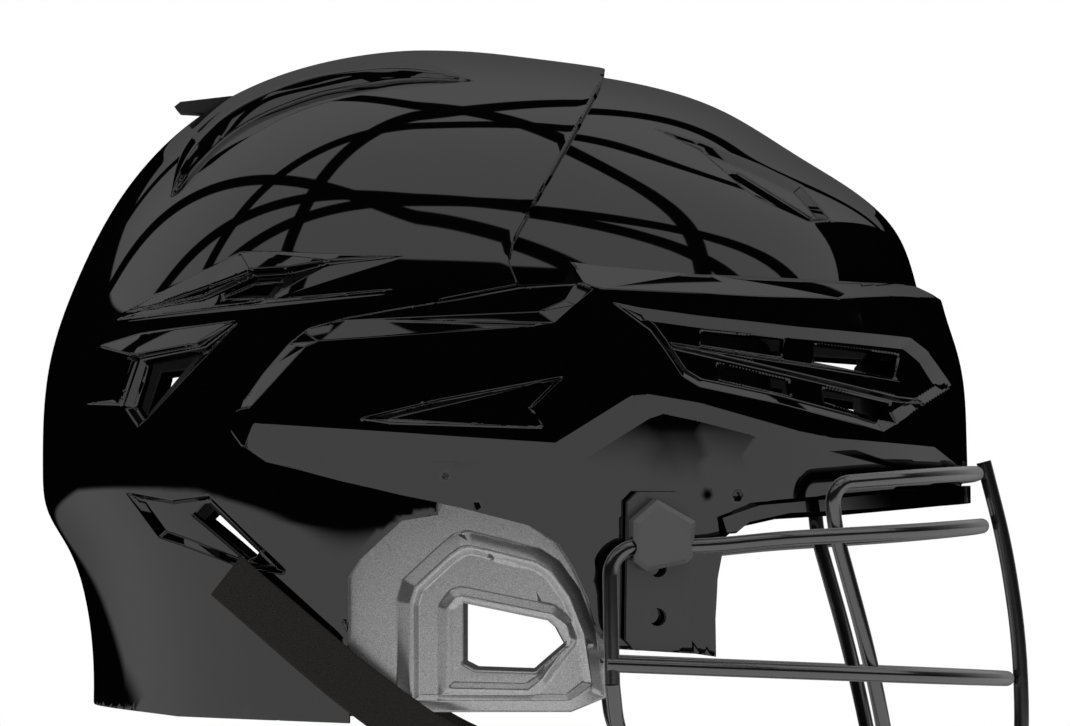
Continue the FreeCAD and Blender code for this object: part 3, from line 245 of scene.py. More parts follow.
class BaseSurface:
    """Smooth egg-shaped surface under every shell.

    At each height the section is an oval, |x / reach|^2.3 + |y / breadth|^2.3 = 1, about
    the widest station. The reach comes from the mid-plane outline and the half breadth
    from a 2.4-power arch above the ears, drawn in a little below them.
    """

    station = -25.0
    level = 10.0
    crown = 131.7
    breadth = 105.0
    pole = np.array([-20.0, -10.0])

    def __init__(self) -> None:
        path = smooth_curve(MIDDLE_OUTLINE, 40001)
        top = int(path[:, 1].argmax())
        self.rear = path[:top + 1]
        self.front = path[top:][::-1]
        foot = np.vstack([dense(line((135.5, -86), (135.5, -150), (-127, -150)), 0.05), [[-127.0, -86.0]]])
        foot = np.vstack([foot[:-1], dense(line((-127, -150), (-127, -86)), 0.05)])
        loop = np.vstack([path, foot]) - self.pole
        turns = np.arctan2(loop[:, 1], loop[:, 0])
        order = np.argsort(turns)
        self.turns = turns[order]
        self.reach = np.hypot(*loop.T)[order]

    def half(self, z: np.ndarray) -> np.ndarray:
        """Half breadth at a height."""
        rise = np.clip((z - self.level) / (self.crown - self.level), 0, 1)
        above = self.breadth * (1 - rise ** 2.4) ** (1 / 2.4)
        below = self.breadth - 6.3 * (np.maximum(self.level - z, 0) / 114) ** 2
        return np.where(z > self.level, above, below)

    def side(self, x: np.ndarray, z: np.ndarray) -> np.ndarray:
        """Distance from the mid-plane to the surface at side-view points."""
        rear = self.station - np.interp(z, self.rear[:, 1], self.rear[:, 0])
        front = np.interp(z, self.front[:, 1], self.front[:, 0]) - self.station
        share = np.where(x > self.station, (x - self.station) / front, (self.station - x) / rear)
        return self.half(z) * (1 - np.clip(share, 0, 1) ** 2.3) ** (1 / 2.3)

    def to_disc(self, points: np.ndarray) -> np.ndarray:
        """Unroll side-view points to a disc: its rim is the mid-plane, its middle the side."""
        away = points - self.pole
        turn = np.arctan2(away[:, 1], away[:, 0])
        reach = np.interp(turn, self.turns, self.reach, period=2 * math.pi)
        bend = np.arcsin(np.clip(np.hypot(*away.T) / reach, 0, 1))
        return np.column_stack([bend * np.cos(turn), bend * np.sin(turn)])

    def from_disc(self, disc: np.ndarray) -> np.ndarray:
        """Side-view points of disc points."""
        turn = np.arctan2(disc[:, 1], disc[:, 0])
        reach = np.interp(turn, self.turns, self.reach, period=2 * math.pi) * np.sin(np.hypot(*disc.T))
        return self.pole + np.column_stack([reach * np.cos(turn), reach * np.sin(turn)])

    def place(self, disc: np.ndarray) -> np.ndarray:
        """Points of the right half of the surface at disc points."""
        flat = self.from_disc(disc)
        y = self.side(*flat.T) * np.sign(math.pi / 2 - np.hypot(*disc.T))
        return np.column_stack([flat[:, 0], -y, flat[:, 1]])

    def normal(self, disc: np.ndarray, place=None, step: float = 0.004) -> np.ndarray:
        """Outward directions at disc points, from differences of the place function."""
        place = place or self.place
        east = place(disc + [step, 0]) - place(disc - [step, 0])
        north = place(disc + [0, step]) - place(disc - [0, step])
        out = np.cross(east, north)
        out /= np.maximum(np.linalg.norm(out, axis=1), 1e-12)[:, None]
        return out

    def under(self, points: Line, lift: float) -> Line:
        """Find the side-view points whose surface, moved outward by a lift, shows at the given ones."""
        found = points.copy()
        for _ in range(4):
            disc = self.to_disc(found)
            found = points - lift * self.normal(disc)[:, [0, 2]]
        return found


BASE = BaseSurface()


@dataclass(frozen=True)
class Ramp:
    """Facets between neighbouring lines: the height runs evenly from each line to the next.

    A line has one height or one for each of its corners. Where the outer border stands off
    the surface, it ends in a steep wall as wide as fade.
    """

    rows: tuple[Line, ...]
    heights: tuple
    fade: float = 0.25

    def border(self) -> Line:
        """Closed outline of all the facets."""
        starts = np.array([row[0] for row in self.rows[1:-1]]).reshape(-1, 2)
        ends = np.array([row[-1] for row in self.rows[1:-1]]).reshape(-1, 2)
        return np.vstack([self.rows[0], ends, self.rows[-1][::-1], starts[::-1]])

    @staticmethod
    def steps(near: Line, far: Line) -> list[tuple[int, int]]:
        """Pairs of corners that the facets between two lines join, in order."""
        run_a, run_b = along(near), along(far)
        a = b = 0
        made = [(0, 0)]
        while a < len(near) - 1 or b < len(far) - 1:
            if b == len(far) - 1 or (a < len(near) - 1 and run_a[a + 1] <= run_b[b + 1]):
                a += 1
            else:
                b += 1
            made.append((a, b))
        return made

    def lines(self) -> list[tuple[Line, bool]]:
        """Creases that the mesh follows: the lines and, where they are few, the facets' edges."""
        made = [(row, False) for row in self.rows]
        for near, far in zip(self.rows, self.rows[1:]):
            steps = self.steps(near, far)
            steps = steps if len(steps) < 24 else [steps[0], steps[-1]]
            made += [(np.array([near[a], far[b]]), False) for a, b in steps
                     if np.hypot(*(far[b] - near[a])) > 0.8]
        return made

    def facets(self) -> list[tuple[np.ndarray, np.ndarray]]:
        """Triangles that span the lines, each with the height at its corners."""
        made = []
        levels = [np.broadcast_to(level, len(row)) for row, level in zip(self.rows, self.heights)]
        for near, low, far, high in zip(self.rows, levels, self.rows[1:], levels[1:]):
            steps = self.steps(near, far)
            for (a, b), (next_a, next_b) in zip(steps, steps[1:]):
                third, level = (near[next_a], low[next_a]) if next_a > a else (far[next_b], high[next_b])
                made.append((np.array([near[a], far[b], third]), np.array([low[a], high[b], level])))
        return made

    def height(self, points: np.ndarray) -> np.ndarray:
        """Height added at side-view points, even over each triangle."""
        border = self.border()
        inside = np.flatnonzero(((points > border.min(0)) & (points < border.max(0))).all(1))
        everywhere = np.zeros(len(points))
        points = points[inside]
        raised = np.zeros(len(points))
        for corner, value in self.facets():
            side_a, side_b = corner[1] - corner[0], corner[2] - corner[0]
            area = side_a[0] * side_b[1] - side_a[1] * side_b[0]
            if abs(area) < 1e-6:
                continue
            away = points - corner[0]
            part_a = (away[:, 0] * side_b[1] - away[:, 1] * side_b[0]) / area
            part_b = (side_a[0] * away[:, 1] - side_a[1] * away[:, 0]) / area
            here = (part_a > -1e-6) & (part_b > -1e-6) & (part_a + part_b < 1 + 1e-6)
            level = value[0] + part_a * (value[1] - value[0]) + part_b * (value[2] - value[0])
            raised = np.where(here, level, raised)
        everywhere[inside] = raised * np.clip(distance(points, border, True) / self.fade, 0, 1)
        return everywhere


@dataclass(frozen=True)
class Level:
    """Area raised or sunk by a step with a sloping wall inside its outline."""

    outline: Line
    step: float
    run: float = 1.2

    def lines(self) -> list[tuple[Line, bool]]:
        """Creases that the mesh follows."""
        shape = dense(self.outline, 2.0, True)
        inner = beside(shape, self.run, True)
        if not within(inner, self.outline).mean() > 0.5:
            inner = beside(shape, -self.run, True)
        keep = within(inner, self.outline) & (distance(inner, self.outline, True) > self.run * 0.9)
        return [(self.outline, True), (inner[keep], False)]

    def height(self, points: np.ndarray) -> np.ndarray:
        """Height added at side-view points."""
        share = np.clip(distance(points, self.outline, True) / self.run, 0, 1)
        return np.where(within(points, self.outline), self.step * share, 0.0)


@dataclass(frozen=True)
class Tuck:
    """Slow drawing-in of the rear skirt below the ears, fading out towards the nape."""

    top: float
    foot: float
    step: float

    def lines(self) -> list[tuple[Line, bool]]:
        """Creases that the mesh follows: none, the form is smooth."""
        return []

    def height(self, points: np.ndarray) -> np.ndarray:
        """Height added at side-view points."""
        down = np.clip((self.top - points[:, 1]) / (self.top - self.foot), 0, 1.3)
        return self.step * down ** 1.5 * ease((points[:, 0] + 128) / 26)


@dataclass
class Sheet:
    """Moulded sheet that follows the base surface at a lift, with reliefs and openings."""

    outline: Line
    rounded: list[Line]
    holes: list[Line]
    reliefs: list
    lift: float
    wall: float
    spacing: float = 2.0
    radius: float = 0.6

    def __post_init__(self) -> None:
        self.creases = [(dense(shape, 1.0, closed), closed)
                        for relief in self.reliefs for shape, closed in relief.lines()]

    def plain(self, points: np.ndarray) -> np.ndarray:
        """Height over the base surface without the rounding of the edges."""
        height = np.full(len(points), self.lift)
        for relief in self.reliefs:
            height += relief.height(points)
        return height

    def height(self, points: np.ndarray) -> np.ndarray:
        """Height over the base surface, falling in a quarter round at the edges."""
        near = np.full(len(points), np.inf)
        for edge in self.rounded:
            near = np.minimum(near, distance(points, edge))
        for hole in self.holes:
            near = np.minimum(near, distance(points, hole, True))
        share = np.clip(1 - near / self.radius, 0, 1)
        return self.plain(points) - self.radius * (1 - np.sqrt(1 - share ** 2))

    def outer(self, disc: np.ndarray) -> np.ndarray:
        """Points of the outer face."""
        return BASE.place(disc) + BASE.normal(disc) * self.height(BASE.from_disc(disc))[:, None]

    def inner(self, disc: np.ndarray) -> np.ndarray:
        """Points of the inner face, one wall under the outer one."""
        lift = self.plain(BASE.from_disc(disc)) - self.wall
        return BASE.place(disc) + BASE.normal(disc) * lift[:, None]

    def covers(self, points: np.ndarray) -> np.ndarray:
        """Tell which side-view points are inside the sheet and outside its holes."""
        kept = within(points, self.outline)
        for hole in self.holes:
            kept &= ~within(points, hole)
        return kept

    def mesh_points(self) -> tuple[np.ndarray, list[tuple[int, int]]]:
        """Place the mesh points on the disc.

        Returns:
            Disc points and the index pairs of the edges that the mesh has to keep.
        """
        rim = math.pi / 2
        points: list[np.ndarray] = []
        edges: list[tuple[int, int]] = []
        total = 0
        for shape, closed in [(dense(self.outline, 1.2, True), True)] + [
                (dense(hole, 1.0, True), True) for hole in self.holes] + self.creases:
            disc = BASE.to_disc(shape)
            on_rim = np.hypot(*disc.T) > rim - 1e-5
            count = len(disc)
            keep = np.ones(count, bool) if not on_rim.any() else ~(
                on_rim & np.roll(on_rim, 1) & np.roll(on_rim, -1))
            index = np.where(keep, total + np.cumsum(keep) - 1, -1)
            disc = disc[keep]
            disc[on_rim[keep]] *= (rim / np.hypot(*disc[on_rim[keep]].T))[:, None]
            points.append(disc)
            for here in range(count if closed else count - 1):
                there = (here + 1) % count
                if index[here] >= 0 and index[there] >= 0:
                    edges.append((int(index[here]), int(index[there])))
            total += int(keep.sum())
        fixed = np.vstack(points)
        rows = [self.radius * share for share in (0.3, 0.65, 1.0)]
        loose = []
        for edge in self.rounded:
            loose += [beside(dense(edge, 1.2), side * row) for row in rows for side in (1, -1)]
        for hole in self.holes:
            loose += [beside(dense(hole, 1.0, True), side * row, True) for row in rows for side in (1, -1)]
        loose += [beside(shape, side * gap, closed) for shape, closed in self.creases
                  for gap in (0.28, 0.7) for side in (1, -1)]
        turns = np.arange(0, 2 * math.pi, self.spacing / 76)
        arc = np.column_stack([np.cos(turns), np.sin(turns)]) * rim
        arc = arc[self.covers(BASE.from_disc(arc * 0.9999))]
        step = self.spacing / 90
        axis = np.arange(-rim, rim, step)
        rows_at = np.arange(-rim, rim, step * math.sqrt(0.75))
        grid_x, grid_z = np.meshgrid(axis, rows_at)
        grid_x[1::2] += step / 2
        grid = np.column_stack([grid_x.ravel(), grid_z.ravel()])
        grid = grid[np.hypot(*grid.T) < rim - step * 0.55]
        grid = grid[within(BASE.from_disc(grid), self.outline)]
        kept = fixed
        for group, gap in ((arc, 0.5), (BASE.to_disc(np.vstack(loose)), 0.13), (grid, self.spacing * 0.5)):
            if group is not arc:
                group = group[np.hypot(*group.T) < rim - 0.004]
            group = group[np.unique(np.round(group * 90 / max(gap, 0.12)), axis=0, return_index=True)[1]]
            tree = kdtree.KDTree(len(kept))
            for number, spot in enumerate(kept):
                tree.insert((spot[0], spot[1], 0), number)
            tree.balance()
            clear = [tree.find((spot[0], spot[1], 0))[2] * 90 > gap for spot in group]
            kept = np.vstack([kept, group[np.array(clear, bool)]])
        return kept, edges

    def half_mesh(self) -> dict[str, np.ndarray]:
        """Triangulate the sheet's right half.

        Returns:
            Points, loop directions and faces of the closed half, and which points lie on
            the mid-plane.
        """
        disc, edges = self.mesh_points()
        made = geometry.delaunay_2d_cdt([Vector(spot) for spot in disc], edges, [], 0, 1e-7)
        disc = np.array([tuple(spot) for spot in made[0]])
        faces = np.array([face for face in made[2] if len(face) == 3])
        centres = disc[faces].mean(1)
        faces = faces[self.covers(BASE.from_disc(centres))]
        used, faces = np.unique(faces, return_inverse=True)
        faces = faces.reshape(-1, 3)
        disc = disc[used]
        middle = np.hypot(*disc.T) > math.pi / 2 - 1e-5
        outer, inner = self.outer(disc), self.inner(disc)
        normal = BASE.normal(disc, self.outer, 0.0008)
        for points in (outer, inner, normal):
            points[middle, 1] = 0.0
        normal /= np.linalg.norm(normal, axis=1)[:, None]
        base_normal = BASE.normal(disc)
        corner = outer[faces]
        turned = np.einsum("ij,ij->i", np.cross(corner[:, 1] - corner[:, 0], corner[:, 2] - corner[:, 0]),
                           base_normal[faces[:, 0]]) < 0
        faces[turned] = faces[turned][:, ::-1]
        pairs = np.vstack([faces[:, [0, 1]], faces[:, [1, 2]], faces[:, [2, 0]]])
        known = {(int(a), int(b)) for a, b in pairs}
        border = [(a, b) for a, b in known if (b, a) not in known and not (middle[a] and middle[b])]
        border = np.array(border)
        count = len(disc)
        wall = np.vstack([np.column_stack([border[:, 1], border[:, 0], border[:, 0] + count]),
                          np.column_stack([border[:, 1], border[:, 0] + count, border[:, 1] + count])])
        points = np.vstack([outer, inner])
        tris = np.vstack([faces, faces[:, ::-1] + count, wall])
        edge_a, edge_b = points[wall[:, 1]] - points[wall[:, 0]], points[wall[:, 2]] - points[wall[:, 0]]
        flat = np.cross(edge_a, edge_b)
        flat /= np.maximum(np.linalg.norm(flat, axis=1), 1e-12)[:, None]
        loops = np.vstack([normal[faces].reshape(-1, 3), -base_normal[faces[:, ::-1]].reshape(-1, 3),
                           np.repeat(flat, 3, axis=0)])
        return {"points": points, "faces": tris, "loops": loops, "middle": np.concatenate([middle, middle])}


def both_halves(half: dict[str, np.ndarray]) -> dict[str, np.ndarray]:
    """Join a right half with its mirror image along the mid-plane."""
    points, faces, loops, middle = half["points"], half["faces"], half["loops"], half["middle"]
    index = np.arange(len(points))
    own = ~middle
    index[own] = len(points) + np.arange(own.sum())
    mirror = np.array([1.0, -1.0, 1.0])
    mirrored_loops = loops.reshape(-1, 3, 3)[:, ::-1] * mirror
    return {"points": np.vstack([points, points[own] * mirror]),
            "faces": np.vstack([faces, index[faces][:, ::-1]]),
            "loops": np.vstack([loops, mirrored_loops.reshape(-1, 3)])}


def mirrored(half: dict[str, np.ndarray]) -> dict[str, np.ndarray]:
    """Return the mirror image of a mesh."""
    mirror = np.array([1.0, -1.0, 1.0])
    loops = half["loops"].reshape(-1, 3, 3)[:, ::-1] * mirror
    return {"points": half["points"] * mirror, "faces": half["faces"][:, ::-1], "loops": loops.reshape(-1, 3)}


def joined(*meshes: dict[str, np.ndarray]) -> dict[str, np.ndarray]:
    """Put several meshes in one, unmerged."""
    start, faces = 0, []
    for mesh in meshes:
        faces.append(mesh["faces"] + start)
        start += len(mesh["points"])
    return {"points": np.vstack([mesh["points"] for mesh in meshes]), "faces": np.vstack(faces),
            "loops": np.vstack([mesh["loops"] for mesh in meshes])}


def mesh_object(name: str, mesh: dict[str, np.ndarray], material: bpy.types.Material) -> bpy.types.Object:
    """Make a Blender object at the origin from a mesh in millimetres.

    Args:
        name: object name.
        mesh: points, faces and, where the shading isn't left to Blender, loop directions.
        material: finish of every face.

    Returns:
        The object, linked to the scene.
    """
    data = bpy.data.meshes.new(name)
    data.from_pydata((mesh["points"] * MM).tolist(), [], mesh["faces"].tolist())
    data.update()
    data.polygons.foreach_set("use_smooth", [True] * len(data.polygons))
    if mesh.get("loops") is not None:
        data.normals_split_custom_set(mesh["loops"].tolist())
    data.materials.append(material)
    made = bpy.data.objects.new(name, data)
    bpy.context.scene.collection.objects.link(made)
    log.info("%s: %d points, %d faces", name, len(data.vertices), len(data.polygons))
    return made


class Tint(Enum):
    """Base colours, linear."""

    SHELL = (0.0012, 0.0012, 0.0014)
    GUARD = (0.33, 0.33, 0.335)
    FOAM = (0.016, 0.016, 0.017)
    PAD = (0.02, 0.02, 0.022)
    STEEL = (0.35, 0.35, 0.36)
    WIRE = (0.008, 0.008, 0.009)
    COVER = (0.085, 0.085, 0.087)
    PLATE = (0.035, 0.035, 0.036)
    RUBBER = (0.012, 0.012, 0.012)
    WEBBING = (0.0125, 0.0105, 0.009)
    TRIM = (0.012, 0.012, 0.013)


@dataclass(frozen=True)
class Finish:
    """How a surface looks.

    Args:
        name: material name.
        tint: base colour.
        roughness: how blurred its reflections are.
        metal: 1 for bare metal.
        grain: size of a fine relief in millimetres, 0 for none.
        depth: how deep the relief is in millimetres.
        speckle: strength of a fine light and dark speckle.
        weave: 1 for woven webbing.
        reflect: specular level of the clear surface.
        rim: base colour painted where the surface turns away from the eye, a painted reflection of the bright
            surroundings along its edges.
    """

    name: str
    tint: Tint
    roughness: float = 0.4
    metal: float = 0.0
    grain: float = 0.0
    depth: float = 0.0
    speckle: float = 0.0
    weave: float = 0.0
    reflect: float = 0.5
    rim: float = 0.0

    def material(self) -> bpy.types.Material:
        """Build the material, once for each finish."""
        found = bpy.data.materials.get(self.name)
        if found:
            return found
        made = bpy.data.materials.new(self.name)
        made.use_nodes = True
        tree = made.node_tree
        skin = tree.nodes["Principled BSDF"]
        skin.inputs["Base Color"].default_value = (*self.tint.value, 1)
        skin.inputs["Roughness"].default_value = self.roughness
        skin.inputs["Metallic"].default_value = self.metal
        skin.inputs["Specular IOR Level"].default_value = self.reflect
        if self.grain:
            place = tree.nodes.new("ShaderNodeTexCoord")
            noise = tree.nodes.new("ShaderNodeTexNoise")
            noise.inputs["Scale"].default_value = 1 / (self.grain * MM)
            noise.inputs["Detail"].default_value = 2
            tree.links.new(place.outputs["Object"], noise.inputs["Vector"])
            bump = tree.nodes.new("ShaderNodeBump")
            bump.inputs["Distance"].default_value = self.depth * MM
            bump.inputs["Strength"].default_value = 1
            tree.links.new(noise.outputs["Fac"], bump.inputs["Height"])
            tree.links.new(bump.outputs["Normal"], skin.inputs["Normal"])
            if self.speckle:
                spread = tree.nodes.new("ShaderNodeMapRange")
                for name, value in (("From Min", 0.3), ("From Max", 0.7),
                                    ("To Min", 1 - self.speckle), ("To Max", 1 + self.speckle)):
                    spread.inputs[name].default_value = value
                tree.links.new(noise.outputs["Fac"], spread.inputs["Value"])
                tint = tree.nodes.new("ShaderNodeVectorMath")
                tint.operation = "SCALE"
                tint.inputs[0].default_value = self.tint.value
                tree.links.new(spread.outputs["Result"], tint.inputs["Scale"])
                tree.links.new(tint.outputs["Vector"], skin.inputs["Base Color"])
        if self.weave:
            self.add_weave(tree, skin)
        # Painted reflection: the base colour brightens from the tint to the rim value where the surface turns
        # away from the eye, standing in for the bright surroundings mirrored there.
        if self.rim:
            painted_reflection_mask = tree.nodes.new("ShaderNodeLayerWeight")
            painted_reflection_mask.inputs["Blend"].default_value = 0.42
            spread = tree.nodes.new("ShaderNodeMapRange")
            spread.interpolation_type = "SMOOTHSTEP"
            for name, value in (("From Min", 0.3), ("From Max", 0.95), ("To Min", self.tint.value[0]),
                                ("To Max", self.rim)):
                spread.inputs[name].default_value = value
            tree.links.new(painted_reflection_mask.outputs["Facing"], spread.inputs["Value"])
            tree.links.new(spread.outputs["Result"], skin.inputs["Base Color"])
        return made

    def add_weave(self, tree: bpy.types.NodeTree, skin: bpy.types.Node) -> None:
        """Add the ribs of plain webbing, from the strap's own UV map in millimetres.

        Height is the sine across times the sine along, so that raised and sunk yarns
        alternate like a plain weave.
        """
        place = tree.nodes.new("ShaderNodeUVMap")
        place.uv_map = "webbing"
        split = tree.nodes.new("ShaderNodeSeparateXYZ")
        tree.links.new(place.outputs["UV"], split.inputs["Vector"])
        waves = []
        for axis, pitch in (("X", 1.1), ("Y", 0.9)):
            turn = tree.nodes.new("ShaderNodeMath")
            turn.operation = "MULTIPLY"
            turn.inputs[1].default_value = 2 * math.pi / pitch
            wave = tree.nodes.new("ShaderNodeMath")
            wave.operation = "SINE"
            tree.links.new(split.outputs[axis], turn.inputs[0])
            tree.links.new(turn.outputs["Value"], wave.inputs[0])
            waves.append(wave)
        cross = tree.nodes.new("ShaderNodeMath")
        cross.operation = "MULTIPLY"
        for index, wave in enumerate(waves):
            tree.links.new(wave.outputs["Value"], cross.inputs[index])
        bump = tree.nodes.new("ShaderNodeBump")
        bump.inputs["Distance"].default_value = 0.12 * MM
        tree.links.new(cross.outputs["Value"], bump.inputs["Height"])
        tree.links.new(bump.outputs["Normal"], skin.inputs["Normal"])


SHELL = Finish("gloss_shell", Tint.SHELL, 0.03)
GUARD = Finish("speckled_guard", Tint.GUARD, 0.3, metal=0.8, grain=0.35, depth=0.015, speckle=0.3)
LINER = Finish("foam_liner", Tint.FOAM, 0.8, grain=1.6, depth=0.12, reflect=0.3)
PAD = Finish("brushed_pad", Tint.PAD, 0.85, grain=0.7, depth=0.1, reflect=0.25)
STEEL = Finish("plated_steel", Tint.STEEL, 0.25, metal=1.0)
# The wire's rim value is a painted reflection of the bright surroundings along its edges.
WIRE = Finish("coated_wire", Tint.WIRE, 0.18, reflect=1.0, rim=0.42)
COVER = Finish("matte_cover", Tint.COVER, 0.5, grain=0.3, depth=0.01)
PLATE = Finish("satin_plate", Tint.PLATE, 0.3)
RUBBER = Finish("soft_rubber", Tint.RUBBER, 0.6)
WEBBING = Finish("woven_webbing", Tint.WEBBING, 0.75, weave=1.0, reflect=0.3)
TRIM = Finish("satin_trim", Tint.TRIM, 0.35)

SLOT_FINISH = {"shell": SHELL, "ear_guard": GUARD, "liner": LINER, "pad": PAD, "steel": STEEL,
               "mask_wire": WIRE, "clip_cover": COVER, "clip_plate": PLATE, "sleeve": RUBBER,
               "webbing": WEBBING, "trim_plastic": TRIM}


@dataclass
class RearShell:
    """Rear half of the helmet: crown, back and the flare over the neck.

    Each tuple gives a line's heights from its rear end to its front end.
    """

    body: str = "rear_shell"
    lift: float = 0.0
    wall: float = 2.5
    scoop_rise: tuple = (0.0, 1.6, 2.2, 2.2, 1.4, 0.0)
    scoop_sink: tuple = (0.0, -1.6, -2.4, -2.4, -0.7, 0.0)
    strip_rise: tuple = (0.0, 0.7, 0.0)
    brow_rise: tuple = (0.0, 2.4, 2.8, 2.4, 0.0)
    back_rise: tuple = (0.0, 1.6, 1.9)
    vent_sink: float = -2.6
    nape_tuck: tuple = (-14, -80, -3.0)
    lower_vent: tuple = (-2.3, 1.6)
    fin_samples: int = 150
    crest: float = 2.2
    groove: float = -2.0
    soft_edge: float = 0.05

    def scoop(self) -> list[Ramp]:
        """Hood over the upper slot, the hollow under it and a narrow strip along its foot."""
        above, below = SCOOP_LOW + [0, 1.3], SCOOP_LOW - [0, 0.9]
        return [Ramp((SCOOP_TOP, SCOOP_LIP), (0.0, self.scoop_rise)),
                Ramp((SCOOP_LIP, SCOOP_LOW), (self.scoop_sink, 0.0)),
                Ramp((above, SCOOP_LOW, below), (0.0, self.strip_rise, 0.0), self.soft_edge)]

    def rear_vent(self) -> list:
        """Brow and back edge of the three-sided vent, and its recess."""
        return [Ramp((REAR_VENT_TOP, REAR_VENT_LIP), (0.0, self.brow_rise)),
                Ramp((REAR_VENT_BACK, REAR_VENT_EDGE), (0.0, self.back_rise)),
                Level(REAR_VENT, self.vent_sink)]

    def fin(self) -> Ramp:
        """Crown fin: a slow rise, a steep drop into a groove and a shelf back to the shell."""
        lines = [smooth_curve(shape, self.fin_samples) for shape in (FIN_RISE, FIN_TOP, FIN, FIN_LOW)]
        swell = np.sin(math.pi * along(lines[1]) ** 0.8) ** 0.7
        return Ramp(tuple(lines), (0.0, self.crest * swell, self.groove * swell, 0.0), self.soft_edge)

    def build(self) -> bpy.types.Object:
        """Make the rear shell and let it stand for its CAD node."""
        front_edge = np.vstack([SEAM, REAR_HIDDEN])
        outline = np.vstack([front_edge, line((-190, 150), (20, 170))])
        reliefs = [*self.scoop(), *self.rear_vent(), self.fin(), Tuck(*self.nape_tuck),
                   Level(LOWER_VENT, *self.lower_vent)]
        slots = [SCOOP_SLOT, REAR_SLOT, LOWER_SLOT]
        sheet = Sheet(outline, [front_edge], slots, reliefs, self.lift, self.wall)
        made = mesh_object("rear_shell_skin", both_halves(sheet.half_mesh()), SHELL.material())
        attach(made, self.body)
        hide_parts("rear_shell")
        return made


@dataclass
class FrontShell:
    """Front half: the sunk dome and the raised brow band with its rear arms.

    Each depth tuple gives heights from the rear to the front, or from the top line to the
    lowest. A pair is a step and the width of its sloping wall.
    """

    body: str = "front_shell"
    dome_lift: float = -2.9
    band_lift: float = 3.5
    wall: float = 2.5
    land_depth: tuple = (-2.6, -3.0, -3.2, -3.0, -2.2, -1.8, -1.7, -1.5, -1.2, -1.2)
    rail_depth: tuple = (-2.8, -3.2, -3.4, -3.2, -2.4, -1.8, -1.2, -1.2, -1.2)
    spear_depth: tuple = (-2.3, -0.4, 0.6)
    brow_depth: tuple = (0.0, -1.5, -3.6)
    crown_vent: tuple = (-1.8, 1.8)
    front_vent: tuple = (-2.2, 2.8)
    blade: tuple = (1.7, 1.0)
    rail_edge: float = 0.3

    def seen(self, shape: Line, lift: float | None = None) -> Line:
        """Side-view line on the base surface for one seen on the band."""
        return BASE.under(shape, self.band_lift if lift is None else lift)

    def dome(self) -> dict[str, np.ndarray]:
        """Sheet of the dome, from under the rear shell to the crease over the band."""
        tuck = BASE.under(CREASE, self.dome_lift) + [0, -1.5]
        rear = DOME_REAR[::-1]
        outline = np.vstack([rear[1:][::-1], rear[:1], tuck, line((170, 160))])
        vent = BASE.under(CROWN_VENT, self.dome_lift)
        slot = BASE.under(CROWN_SLOT, self.dome_lift)
        recess = Level(vent, *self.crown_vent)
        sheet = Sheet(outline, [DOME_REAR], [slot], [recess], self.dome_lift, self.wall)
        return both_halves(sheet.half_mesh())

    def band(self) -> dict[str, np.ndarray]:
        """Sheet of the band: ledge, rails, side spear, vents and brow."""
        crease = BASE.under(CREASE, self.dome_lift)
        drop = self.dome_lift - self.band_lift
        bevel, top, bottom = (self.seen(shape) for shape in (BEVEL, ARM_TOP, ARM_BOTTOM))
        edge = np.vstack([bottom, top])
        outline = np.vstack([edge, crease])
        rail_out, rail_in = self.seen(RAIL_OUT), self.seen(RAIL_IN)
        band_top, band_low = self.seen(BAND_TOP), self.seen(BAND_LOW)
        land_top = self.seen(LAND_TOP)
        reliefs = [
            Ramp((np.vstack([crease[:1] + [-3, 1.2], crease + [0, 0.8]]), bevel), (drop * 1.12, 0.0), 0.1),
            Ramp((land_top, rail_out, rail_in), (self.land_depth, self.rail_depth, 0.0), self.rail_edge),
            Ramp((self.seen(SPEAR_TOP), self.seen(SPEAR_LOW), self.seen(SPEAR_FOOT)), self.spear_depth),
            Ramp((band_top, band_low, self.seen(BAND_FOOT)), self.brow_depth),
            Level(self.seen(FRONT_VENT), *self.front_vent),
            Level(self.seen(FRONT_BLADE), *self.blade),
        ]
        holes = [self.seen(slot) for slot in FRONT_SLOTS]
        sheet = Sheet(outline, [edge], holes, reliefs, self.band_lift, self.wall)
        return both_halves(sheet.half_mesh())

    def build(self) -> bpy.types.Object:
        """Make the front shell and let it stand for its CAD node."""
        made = mesh_object("front_shell_skin", joined(self.dome(), self.band()), SHELL.material())
        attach(made, self.body)
        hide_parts("front_shell")
        return made


@dataclass
class EarGuards:
    """Grey plates over the ears, with a raised bead, a dish and a rimmed opening.

    Each pair is a step and the width of its sloping wall.
    """

    body: str = "rear_shell"
    lift: float = -4.5
    wall: float = 2.6
    bead: tuple = (2.4, 3.8)
    dish: tuple = (-1.7, 1.8)
    ring: tuple = (1.3, 2.4)
    well: tuple = (-1.0, 1.6)

    def build(self) -> list[bpy.types.Object]:
        """Make both guards and let them stand for their CAD nodes."""
        seen = [BASE.under(shape, self.lift) for shape in
                (EAR_SIDE, EAR_BEAD_OUT, EAR_BEAD_IN, EAR_RING_OUT, EAR_RING_IN, EAR_HOLE)]
        side, bead_out, bead_in, ring_out, ring_in, hole = seen
        reliefs = [Level(bead_out, *self.bead), Level(bead_in, *self.dish),
                   Level(ring_out, *self.ring), Level(ring_in, *self.well)]
        edge = np.vstack([side, side[:1]])
        sheet = Sheet(side, [edge], [hole], reliefs, self.lift, self.wall, spacing=1.8, radius=0.8)
        right = sheet.half_mesh()
        made = []
        for name, mesh in (("right", right), ("left", mirrored(right))):
            guard = mesh_object("ear_guard_skin_" + name, mesh, GUARD.material())
            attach(guard, self.body)
            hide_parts("ear_guard_" + name)
            made.append(guard)
        return made


